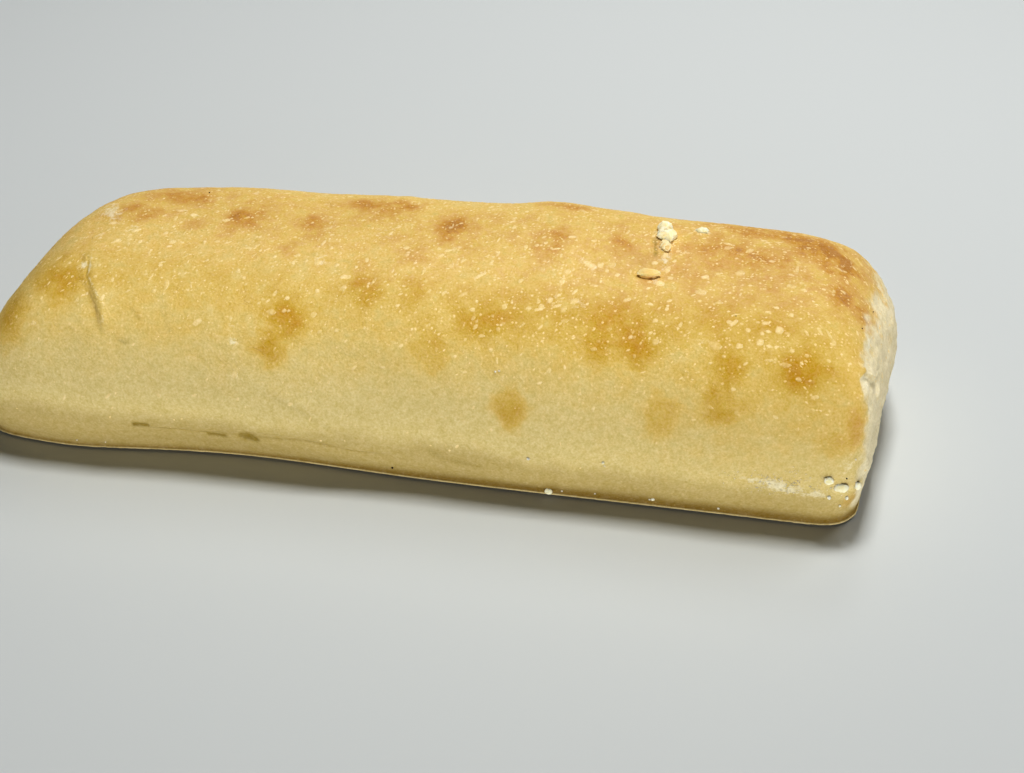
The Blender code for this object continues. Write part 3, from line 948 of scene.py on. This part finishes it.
# %% [markdown]
# The finest relief is bump: the dry grain of the crust, its faint mottling, the
# tiny dots, and soft wrinkles where the skin shrank as it cooled. A wrinkle is
# where a cloud passes its middle value, which draws thin winding lines, and the
# mottle lets them through in places. Anything wider than that is real geometry.

# %% Give it grain
BUMP_STRENGTH = 0.6
BUMP_DEPTH = 0.3 * MM
WRINKLE_MM = 9.0
WRINKLE_WIDTH = 0.05
WRINKLE_WINDING = 0.8
WRINKLED_PLACES, WRINKLED_SHARE = 6.0, 0.1

wrinkled = add_node(
    tree, "TexNoise", Vector=where, Scale=1 / (WRINKLE_MM * MM), Detail=3, Distortion=WRINKLE_WINDING
)
from_line = add_node(tree, "Math", operation="SUBTRACT", Value=wrinkled, Value_001=0.5)
from_line = add_node(tree, "Math", operation="ABSOLUTE", Value=from_line)
wrinkle = add_node(
    tree, "Math", operation="MULTIPLY_ADD", Value=from_line, Value_001=-1 / WRINKLE_WIDTH, Value_002=1.0,
    use_clamp=True,
)
here = add_node(
    tree, "Math", operation="MULTIPLY_ADD", Value=clouds["mottle"], Value_001=WRINKLED_PLACES,
    Value_002=WRINKLED_SHARE, use_clamp=True,
)
wrinkle = add_node(tree, "Math", operation="MULTIPLY", Value=wrinkle, Value_001=here)

relief = clouds["grain"]
for height, share in ((clouds["fine"], 0.4), (spots["dot"], 0.15), (spots["fleck"], 0.15), (wrinkle, -0.45)):
    relief = add_node(tree, "Math", operation="MULTIPLY_ADD", Value=height, Value_001=share, Value_002=relief)
bump = add_node(tree, "Bump", Strength=BUMP_STRENGTH, Distance=BUMP_DEPTH, Height=relief)
tree.links.new(result_of(bump), shader.inputs["Normal"])
crust.data.materials.append(crust_finish)
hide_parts("loaf")
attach(crust, "root")
print("crust finish has", len(tree.nodes), "nodes")

# %% [markdown]
# ## Blisters
# A wet dough bakes up with hundreds of small blisters, up to 3 mm wide, where steam
# lifted the skin. They are the sign of a ciabatta. Each is a low dome of its own
# outline, closed underneath, that follows the skin it lies on. They crowd on the
# crown and thin out down the walls, and lie stretched the way the dough was pulled.
# Most are strewn by lot. The widest ones are placed one by one.

# %% Shape a blister
BLISTER_SIDES = 8
BLISTER_RINGS = (0.6, 1.0)
BLISTER_UNEVEN = (0.8, 1.15)
BLISTER_THIN = 0.03
BLISTER_RISE = 0.04
RISES_UP_TO_WIDTH = 2.5
BLISTER_SUNK = 0.03
BLISTER_BELOW = 0.3

Blister = namedtuple("Blister", "place normal width stretch slant strength")


def outline_of(blister, lots):
    """The sides of one blister, as distances from its middle, in mm."""
    sides = []
    slant = math.radians(blister.slant)
    for index in range(BLISTER_SIDES):
        around = math.tau * index / BLISTER_SIDES
        bump = lots.uniform(*BLISTER_UNEVEN) * blister.width / 2
        x = math.cos(around) * bump * math.sqrt(blister.stretch)
        y = math.sin(around) * bump / math.sqrt(blister.stretch)
        sides.append((x * math.cos(slant) - y * math.sin(slant), x * math.sin(slant) + y * math.cos(slant)))
    return sides


def add_blister(mesh, layer, blister, lots):
    """One low dome on the skin, with its underside hidden in the skin."""
    normal = blister.normal
    lengthways = (Vector((1, 0, 0)) - normal * normal.x).normalized()
    sideways = normal.cross(lengthways)
    height = BLISTER_THIN + BLISTER_RISE * min(blister.width, RISES_UP_TO_WIDTH)

    def vert_at(share, x, y):
        flat = blister.place + (lengthways * x + sideways * y) * MM * share
        on_skin, out, _, _ = skin_now.find_nearest(flat)
        rise = height * (1 - share**2) - BLISTER_SUNK * share**4
        vert = mesh.verts.new(on_skin + out * rise * MM)
        vert[layer] = blister.strength * (1 - share**3)
        return vert

    sides = outline_of(blister, lots)
    top = vert_at(0, 0, 0)
    rings = [[vert_at(share, x, y) for x, y in sides] for share in BLISTER_RINGS]
    below = mesh.verts.new(blister.place - normal * BLISTER_BELOW * MM)
    for index in range(BLISTER_SIDES):
        after = (index + 1) % BLISTER_SIDES
        mesh.faces.new((top, rings[0][index], rings[0][after]))
        for inner, outer in zip(rings, rings[1:]):
            mesh.faces.new((inner[index], outer[index], outer[after], inner[after]))
        mesh.faces.new((rings[-1][after], rings[-1][index], below))
        mesh.edges.get((rings[-1][index], rings[-1][after])).smooth = False


skin_now = BVHTree.FromObject(crust, bpy.context.evaluated_depsgraph_get())
print("a blister has", BLISTER_SIDES * (len(BLISTER_RINGS) * 2), "triangles")

# %% [markdown]
# Where a blister lands is drawn by lot, weighted by how crowded the skin is there.
# Most are under a millimetre wide, and few are wide, which is what a logarithmic
# spread gives. A seed keeps the draw the same each time the lesson is run.

# %% Strew the blisters
BLISTER_SEED = 11
BLISTERS_PER_CM2 = 17.0
CM2 = 1e-4
CROWDED_FRONT, CROWDED_BACK = (-56, -20), (80, 30)
LEFT_END_SHARE, CROWDED_ALONG = 0.6, (-60, 30)
WALL_SHARE, WALL_HEIGHTS = 0.1, (12, 22)
BARE_FOOT_HEIGHTS, BARE_END_FACES = (6, 12), (0.9, 0.7)
PATCHES = Cloud(0.9, 14, 8)

areas = np.array([face.area for face in crust.data.polygons])
centres = np.array([tuple(face.center) for face in crust.data.polygons]) / MM
directions = np.array([tuple(face.normal) for face in crust.data.polygons])
turns = turn_of(centres)
crowding = smooth_step(*CROWDED_FRONT, turns) * smooth_step(*CROWDED_BACK, turns)
crowding *= LEFT_END_SHARE + (1 - LEFT_END_SHARE) * smooth_step(*CROWDED_ALONG, centres[:, 0])
crowding = np.maximum(crowding, WALL_SHARE * smooth_step(*WALL_HEIGHTS, centres[:, 2]))
crowding *= smooth_step(*BARE_FOOT_HEIGHTS, centres[:, 2]) * smooth_step(*BARE_END_FACES, directions[:, 0])
crowding *= 1 + cloudy(centres, PATCHES)
weights = areas * np.maximum(crowding, 0)
count = int(weights.sum() / CM2 * BLISTERS_PER_CM2)
draw = np.random.default_rng(BLISTER_SEED)
chosen = draw.choice(len(weights), size=count, replace=False, p=weights / weights.sum())
print("places drawn for blisters:", count)

# %% [markdown]
# The skin was stretched as the loaf was laid down, and its blisters with it. So each
# is longer one way, askew by the pull at its place, and by a little of its own.

# %% Model the strewn blisters
TYPICAL_WIDTH, WIDTH_SPREAD = 0.8, 0.5
NARROWEST, WIDEST = 0.5, 2.8
TYPICAL_STRETCH, STRETCH_SPREAD, LONGEST_STRETCH = 1.15, 0.5, 3.2
PULL_LEFT, PULL_RIGHT = 62, -40
PULL_TURNS_FROM, PULL_TURNS_OVER = 60, 70
SLANT_SPREAD = 22
FAINTEST = 0.35


def pulled_at(along):
    """The degrees by which the skin was pulled askew: up to the right, and back at the blunt end."""
    turned = min(max((along - PULL_TURNS_FROM) / PULL_TURNS_OVER, 0), 1)
    return PULL_LEFT + (PULL_RIGHT - PULL_LEFT) * turned


lots = random.Random(BLISTER_SEED)
blister_mesh = bmesh.new()
blister_layer = blister_mesh.verts.layers.float.new("blister")
for face in chosen:
    blister = Blister(
        place=Vector(centres[face]) * MM,
        normal=Vector(directions[face]),
        width=min(max(TYPICAL_WIDTH * math.exp(lots.gauss(0, WIDTH_SPREAD)), NARROWEST), WIDEST),
        stretch=min(TYPICAL_STRETCH * math.exp(abs(lots.gauss(0, STRETCH_SPREAD))), LONGEST_STRETCH),
        slant=pulled_at(centres[face, 0]) + lots.gauss(0, SLANT_SPREAD),
        strength=lots.uniform(FAINTEST, 1.0),
    )
    add_blister(blister_mesh, blister_layer, blister, lots)
print("strewn blisters:", count)

# %% [markdown]
# The widest blisters and flecks are what tells this loaf from another, so they are
# placed one by one: how far along, how far round, how wide in mm, how stretched,
# how askew, and how pale.

# %% Place the widest ones
Fleck = namedtuple("Fleck", "along turn width stretch slant strength")

WIDE_FLECKS = (
    Fleck(-105, -1.4, 2.6, 1.6, 20, 0.8),
    Fleck(-100.4, -10.5, 2.6, 1.4, 40, 0.8),
    Fleck(-96, -4.7, 2.9, 2.4, 35, 0.9),
    Fleck(-93.1, -10, 1.9, 1.8, 70, 0.9),
    Fleck(-86.5, -4.4, 2.1, 1.5, 80, 0.8),
    Fleck(-80.8, 6.5, 3.0, 1.1, 30, 1.0),
    Fleck(-83.4, -19.6, 1.9, 1.2, 70, 0.7),
    Fleck(-79.4, -26.8, 3.2, 2.4, 90, 0.35),
    Fleck(-73, -7.2, 1.6, 1.0, 0, 0.9),
    Fleck(-69.1, -6.7, 1.8, 1.2, 0, 0.8),
    Fleck(-63.3, 7, 1.9, 2.2, 40, 0.7),
    Fleck(-58.9, -18.8, 1.7, 1.5, 80, 0.9),
    Fleck(-45.4, -32.3, 3.2, 1.1, 0, 0.6),
    Fleck(-42.3, -10.6, 2.1, 1.8, 40, 0.9),
    Fleck(-41.6, -27.3, 2.0, 1.1, 30, 1.0),
    Fleck(-35.4, -12.9, 3.0, 1.5, 70, 0.7),
    Fleck(-36.3, 4.8, 2.2, 3.0, 25, 0.6),
    Fleck(-33, -23.7, 1.9, 1.0, 0, 0.9),
    Fleck(-32.7, -31.6, 2.4, 1.2, 60, 0.6),
    Fleck(-29.3, -13.3, 2.0, 1.3, 60, 0.8),
    Fleck(-25.2, -22.1, 2.6, 1.4, 60, 0.6),
    Fleck(0.7, -2.4, 1.8, 1.1, 60, 0.8),
    Fleck(3.6, -2.8, 2.4, 1.9, 35, 0.8),
    Fleck(5.5, -9.6, 2.2, 1.0, 0, 0.5),
    Fleck(9, -6.7, 2.2, 1.8, 65, 0.8),
    Fleck(15.3, -12.8, 3.0, 3.4, 42, 0.9),
    Fleck(14.9, -25.6, 2.0, 1.0, 0, 0.9),
    Fleck(24.3, -23.7, 2.3, 1.6, 65, 0.8),
    Fleck(27.7, -13.5, 2.2, 1.6, 50, 0.9),
    Fleck(31.5, -23.7, 2.1, 1.1, 60, 0.8),
    Fleck(30.5, 2.3, 2.0, 1.0, 0, 0.9),
    Fleck(32.2, 6.2, 1.8, 1.7, 45, 0.9),
    Fleck(40.8, 6.9, 2.2, 1.7, 15, 1.0),
    Fleck(41.3, -8.1, 2.6, 1.4, 65, 0.7),
    Fleck(37.5, -19.9, 2.5, 1.8, 70, 0.8),
    Fleck(44.7, -19.5, 3.0, 1.4, 40, 0.7),
    Fleck(47.7, 6.3, 1.8, 1.5, 0, 0.8),
    Fleck(47.4, -4.1, 4.2, 2.4, -32, 0.9),
    Fleck(50.7, -3.8, 2.8, 1.3, 80, 0.8),
    Fleck(54.2, -3.4, 3.2, 1.3, 40, 0.5),
    Fleck(67.1, -18.1, 2.0, 1.3, 0, 1.0),
    Fleck(72.6, -16.4, 1.9, 1.6, 35, 0.8),
    Fleck(69.1, -23.9, 2.0, 1.0, 0, 0.8),
    Fleck(76.5, -24.6, 2.0, 1.9, 75, 0.7),
    Fleck(69.3, -9.4, 3.2, 1.1, 60, 1.0),
    Fleck(71, -3, 3.2, 1.8, 65, 0.8),
    Fleck(69.8, 3.4, 2.6, 1.8, 80, 0.9),
    Fleck(69.8, -30.5, 2.6, 1.5, 65, 0.6),
    Fleck(81.5, -11.9, 3.4, 1.5, 10, 0.7),
    Fleck(86.3, -2.9, 2.1, 1.2, 0, 0.8),
    Fleck(92.8, -1.6, 3.2, 1.1, 0, 0.7),
    Fleck(90.5, -22.5, 2.0, 1.2, 20, 0.9),
    Fleck(87, -30.4, 4.2, 1.1, 0, 0.45),
    Fleck(93.9, -29.8, 2.4, 1.1, 30, 0.8),
    Fleck(99.8, -28.3, 2.7, 1.5, 70, 0.9),
    Fleck(100.2, -25.3, 1.8, 1.1, 60, 0.8),
    Fleck(102, -24.6, 1.9, 1.0, 0, 0.9),
    Fleck(105, -23.9, 3.1, 1.1, 80, 1.0),
    Fleck(102.2, 4.5, 2.0, 1.3, 0, 0.8),
    Fleck(107.4, -6.3, 2.3, 1.0, 0, 0.8),
    Fleck(108.2, -18.3, 1.9, 1.0, 0, 0.9),
    Fleck(109, -30, 1.9, 1.2, 0, 0.8),
    Fleck(109.7, 1.6, 2.2, 2.6, 88, 0.7),
    Fleck(112.7, -23.9, 1.9, 3.0, -60, 0.7),
    Fleck(116.6, -23, 2.2, 3.6, -60, 0.7),
    Fleck(119.2, -23.6, 2.2, 3.6, -60, 0.7),
)

for fleck in WIDE_FLECKS:
    place, normal = skin_at(fleck.along, fleck.turn)
    blister = Blister(place * MM, normal, fleck.width, fleck.stretch, fleck.slant, fleck.strength)
    add_blister(blister_mesh, blister_layer, blister, lots)
blisters = add_object("blisters", blister_mesh)
blisters.data.shade_smooth()
print("blisters in all:", count + len(WIDE_FLECKS), "with", len(blisters.data.polygons), "faces")

# %% [markdown]
# A blister is made of the same skin as the crust under it. So it has the same
# material, and is painted by the same functions, and only its own layer makes it
# paler in the middle.

# %% Colour the blisters
points = places_of(blisters)
paint(blisters, "toast", toast_at(points))
paint(blisters, "tan", tan_at(points))
paint(blisters, "shoulder", shoulder_at(points))
paint(blisters, "pale", pale_at(points, directions_of(blisters)))
blisters.data.materials.append(crust_finish)
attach(blisters, "root")
print("blisters are painted like the crust under them")

# %% [markdown]
# ## Crumbs
# Crumbs of dried dough are broken, angular and pale. Each is made of a few chips:
# a chip is the hull of points strewn on an oval, which gives it flat broken sides.
# A voxel remesh then fuses the chips of all crumbs into closed skins, and a cloud
# of random values makes them porous.

# %% Shape a chip
CHIP_POINTS = 24
CHIP_UNEVEN = (0.85, 1.12)
CHIP_TURNS_AWAY = 0.5
GOLDEN_TURN = math.pi * (3 - math.sqrt(5))


def add_chip(mesh, middle, sizes, lots):
    """One broken piece: the hull of points strewn on an oval, in mm."""
    points = []
    for index in range(CHIP_POINTS):
        height = 1 - 2 * (index + 0.5) / CHIP_POINTS
        around = index * GOLDEN_TURN + lots.uniform(-CHIP_TURNS_AWAY, CHIP_TURNS_AWAY)
        out = math.sqrt(1 - height**2)
        way = Vector((out * math.cos(around), out * math.sin(around), height)) * lots.uniform(*CHIP_UNEVEN)
        points.append(mesh.verts.new((Vector(middle) + Vector([w * s / 2 for w, s in zip(way, sizes)])) * MM))
    hull = bmesh.ops.convex_hull(mesh, input=points)
    bmesh.ops.delete(mesh, geom=list({*hull["geom_interior"], *hull["geom_unused"]}), context="VERTS")


print("a chip has up to", CHIP_POINTS, "corners")

# %% [markdown]
# A crumb lets light sink in, so its upper edge doesn't go dark on a wall that is
# lit from the front. The crumbs are only a millimetre or two thick, which is too
# thin for the renderer's sunk light alone. So the shading of those low on a wall is
# also turned part of the way towards the wall's own. Their shape isn't changed.

# %% Lean the shading
LEAN_SHARE = 0.7
LEAN_HEIGHTS = (45, 32)


def lean_shading(thing):
    """Turns the shading of pieces low on a wall part of the way towards the wall's own."""
    mesh = thing.data
    mesh.shade_smooth()
    leaned = []
    for vert, own in zip(mesh.vertices, mesh.vertex_normals):
        share = LEAN_SHARE * float(smooth_step(*LEAN_HEIGHTS, vert.co.z / MM))
        off_wall = Vector((0, math.copysign(1, vert.co.y), 0))
        leaned.append(own.vector.lerp(off_wall, share).normalized())
    mesh.normals_split_custom_set_from_vertices(leaned)


print("shading leans below, mm:", LEAN_HEIGHTS[0])

# %% [markdown]
# A crumb is a first chip of nearly its whole size and a few smaller ones that stray
# from it, all fused by one remesh.

# %% Chip the crumbs
CRUMB_SEED = 5
FIRST_CHIP_SIZE = 0.95
CHIP_SIZES = (0.7, 0.9)
CHIP_STRAYS = 0.3
VOXEL = 0.2 * MM
POROUS = 0.13
PORES = (Cloud(1.0, 0.9, 9), Cloud(0.5, 0.45, 10))

lots = random.Random(CRUMB_SEED)
crumb_mesh = bmesh.new()
for lump in LUMPS:
    whole = [2 * half_size for half_size in lump.half_sizes]
    if lump.chips:
        add_chip(crumb_mesh, lump.middle, [FIRST_CHIP_SIZE * size for size in whole], lots)
    for _ in range(lump.chips):
        strayed = [m + lots.uniform(-1, 1) * CHIP_STRAYS * s for m, s in zip(lump.middle, lump.half_sizes)]
        add_chip(crumb_mesh, strayed, [size * lots.uniform(*CHIP_SIZES) for size in whole], lots)
crumbs = add_object("crumbs", crumb_mesh)
fused = crumbs.modifiers.new("fused", "REMESH")
fused.mode = "VOXEL"
fused.voxel_size = VOXEL
with_modifiers_applied(crumbs)
points = places_of(crumbs)
points += directions_of(crumbs) * (POROUS * cloudy(points, *PORES))[:, None]
points = np.clip(points, lowest, highest)
crumbs.data.vertices.foreach_set("co", (points * MM).ravel())
lean_shading(crumbs)
print("crumbs:", len(crumbs.data.polygons), "faces")

# %% [markdown]
# Dried dough is cream and quite matte: bare flour and water, hardly baked. It is
# translucent, so light sinks a few millimetres into it, which keeps its shaded
# sides from going grey. The flakes on the crown baked longer, and are more golden.

# %% Finish the crumbs
DOUGH_COLOUR = "#f4ebcb"
DOUGH_SHADE = "#ebdcab"
DOUGH_BAKED = "#e2c380"
DOUGH_ROUGHNESS = 0.85
DOUGH_GLOSS = 0.2
DOUGH_PATCH_MM = 1.2
SHADE_STOP, COLOUR_STOP = 0.3, 0.6
DOUGH_SUNK_LIGHT = 1.0
DOUGH_LIGHT_DEPTH = 2.5 * MM
DOUGH_DEPTH_OF_COLOURS = (1.0, 0.95, 0.8)
BAKED_FLAKES = (
    Mark(65.8, -6, 5, 4, 0, 0.9),
    Mark(69.7, 4, 3, 2.5, 0, 0.5),
)

dough = bpy.data.materials.new("dried dough")
dough.use_nodes = True
dough_tree = dough.node_tree
dough_shader = dough_tree.nodes["Principled BSDF"]
dough_shader.inputs["Roughness"].default_value = DOUGH_ROUGHNESS
dough_shader.inputs["Specular IOR Level"].default_value = DOUGH_GLOSS
dough_shader.inputs["Subsurface Weight"].default_value = DOUGH_SUNK_LIGHT
dough_shader.inputs["Subsurface Radius"].default_value = DOUGH_DEPTH_OF_COLOURS
dough_shader.inputs["Subsurface Scale"].default_value = DOUGH_LIGHT_DEPTH
dough_where = add_node(dough_tree, "TexCoord").outputs["Object"]
patches = add_node(dough_tree, "TexNoise", Vector=dough_where, Scale=1 / (DOUGH_PATCH_MM * MM), Detail=3)
shades = add_node(dough_tree, "ValToRGB", Fac=patches)
shade_stop, colour_stop = shades.color_ramp.elements
shade_stop.position, shade_stop.color = SHADE_STOP, linear(DOUGH_SHADE)
colour_stop.position, colour_stop.color = COLOUR_STOP, linear(DOUGH_COLOUR)
dough_toast = add_node(dough_tree, "Attribute", attribute_name="toast").outputs["Fac"]
toasted = add_node(
    dough_tree, "Mix", data_type="RGBA", Factor_Float=dough_toast, A_Color=shades, B_Color=linear(DOUGH_BAKED)
)
dough_tree.links.new(result_of(toasted), dough_shader.inputs["Base Color"])
paint(crumbs, "toast", covered(BAKED_FLAKES, points))
crumbs.data.materials.append(dough)
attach(crumbs, "root")
print("crumb finish from", DOUGH_SHADE, "to", DOUGH_COLOUR)

# %% [markdown]
# ## Small crumbs, burnt specks and flour
# Chips under a millimetre or two lie along the foot and on the walls. Each is a
# single chip that is flattened along the skin's normal and sits a little sunk in
# the skin. They are too small for the solid.

# %% Place the small crumbs
Chip = namedtuple("Chip", "along turn size")

SMALL_CRUMBS = (
    Chip(24.1, -43.5, 0.9),
    Chip(25.2, -43.2, 0.7),
    Chip(35.3, -71.3, 1.1),
    Chip(57.8, -70.1, 0.9),
    Chip(58.3, -71.5, 0.6),
    Chip(124.9, -74.2, 1.5),
    Chip(130.1, -74.6, 1.5),
    Chip(128.6, -78.4, 1.1),
    Chip(130.5, -59.2, 0.7),
    Chip(73.6, -86.5, 1.2),
    Chip(72.6, -87, 0.8),
    Chip(45.6, -87.7, 0.7),
    Chip(93.5, -87.6, 0.8),
    Chip(-110, -87, 0.7),
    Chip(-100.7, -87, 0.6),
    Chip(55.8, -87.2, 0.7),
)
CHIP_FLATNESS = 0.7
CHIP_SUNK = 0.15
CHIP_LENGTHS = (0.75, 1.15)


def add_chip_on_skin(mesh, along, turn, size, lots):
    """A small chip that sits on the skin, a little sunk."""
    place, normal = skin_at(along, turn)
    middle = place + normal * size * (CHIP_FLATNESS / 2 - CHIP_SUNK)
    sizes = [size * lots.uniform(*CHIP_LENGTHS) * (1 - (1 - CHIP_FLATNESS) * abs(part)) for part in normal]
    add_chip(mesh, middle, sizes, lots)


small_mesh = bmesh.new()
for chip in SMALL_CRUMBS:
    add_chip_on_skin(small_mesh, chip.along, chip.turn, chip.size, lots)
small_crumbs = add_object("small_crumbs", small_mesh)
lean_shading(small_crumbs)
small_crumbs.data.materials.append(dough)
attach(small_crumbs, "root")
print("small crumbs:", len(SMALL_CRUMBS))

# %% [markdown]
# A few specks of flour and dough burnt black on the oven's floor and stuck to the
# skin. Char is a rough near-black, with a little brown where it burnt less.

# %% Place the burnt specks
BURNT_SPECKS = (
    Chip(128.9, -66.1, 0.65),
    Chip(-7.6, -85.5, 0.85),
    Chip(129.5, -16.7, 0.5),
    Chip(133.7, -3.6, 0.5),
    Chip(-80.8, 22.5, 0.6),
    Chip(92.4, -20.2, 0.4),
)
CHAR_COLOUR, SCORCHED_COLOUR = "#1d150c", "#4a3417"
CHAR_ROUGHNESS = 0.7
CHAR_PATCH_MM = 0.3

speck_mesh = bmesh.new()
for chip in BURNT_SPECKS:
    add_chip_on_skin(speck_mesh, chip.along, chip.turn, chip.size, lots)
specks = add_object("burnt_specks", speck_mesh)
burnt = bpy.data.materials.new("burnt crumb")
burnt.use_nodes = True
burnt_shader = burnt.node_tree.nodes["Principled BSDF"]
burnt_shader.inputs["Roughness"].default_value = CHAR_ROUGHNESS
char_cloud = add_node(burnt.node_tree, "TexNoise", Scale=1 / (CHAR_PATCH_MM * MM))
char = add_node(
    burnt.node_tree, "Mix", data_type="RGBA", Factor_Float=char_cloud,
    A_Color=linear(CHAR_COLOUR), B_Color=linear(SCORCHED_COLOUR),
)
burnt.node_tree.links.new(result_of(char), burnt_shader.inputs["Base Color"])
specks.data.materials.append(burnt)
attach(specks, "root")
print("burnt specks:", len(BURNT_SPECKS))

# %% [markdown]
# Flour from the board stuck low on the blunt end's side. The painted patches give
# its film, and real grains over them give its rough edge. Each grain is a tiny chip,
# and their places are drawn by lot round the middle of the patch.

# %% Dust the flour
FLOUR_SEED = 23
FLOUR_GRAINS = 170
FLOUR_MIDDLE = (111, -70.5)
FLOUR_SPREAD = (8.0, 2.4)
FLOUR_SIZES = (0.18, 0.42)
FLOUR_ENDS_AT = 130

lots = random.Random(FLOUR_SEED)
flour_mesh = bmesh.new()
for _ in range(FLOUR_GRAINS):
    along, turn = (lots.gauss(middle, spread) for middle, spread in zip(FLOUR_MIDDLE, FLOUR_SPREAD))
    add_chip_on_skin(flour_mesh, min(along, FLOUR_ENDS_AT), turn, lots.uniform(*FLOUR_SIZES), lots)
flour = add_object("flour", flour_mesh)
lean_shading(flour)
flour.data.materials.append(dough)
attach(flour, "root")
print("flour grains:", FLOUR_GRAINS)
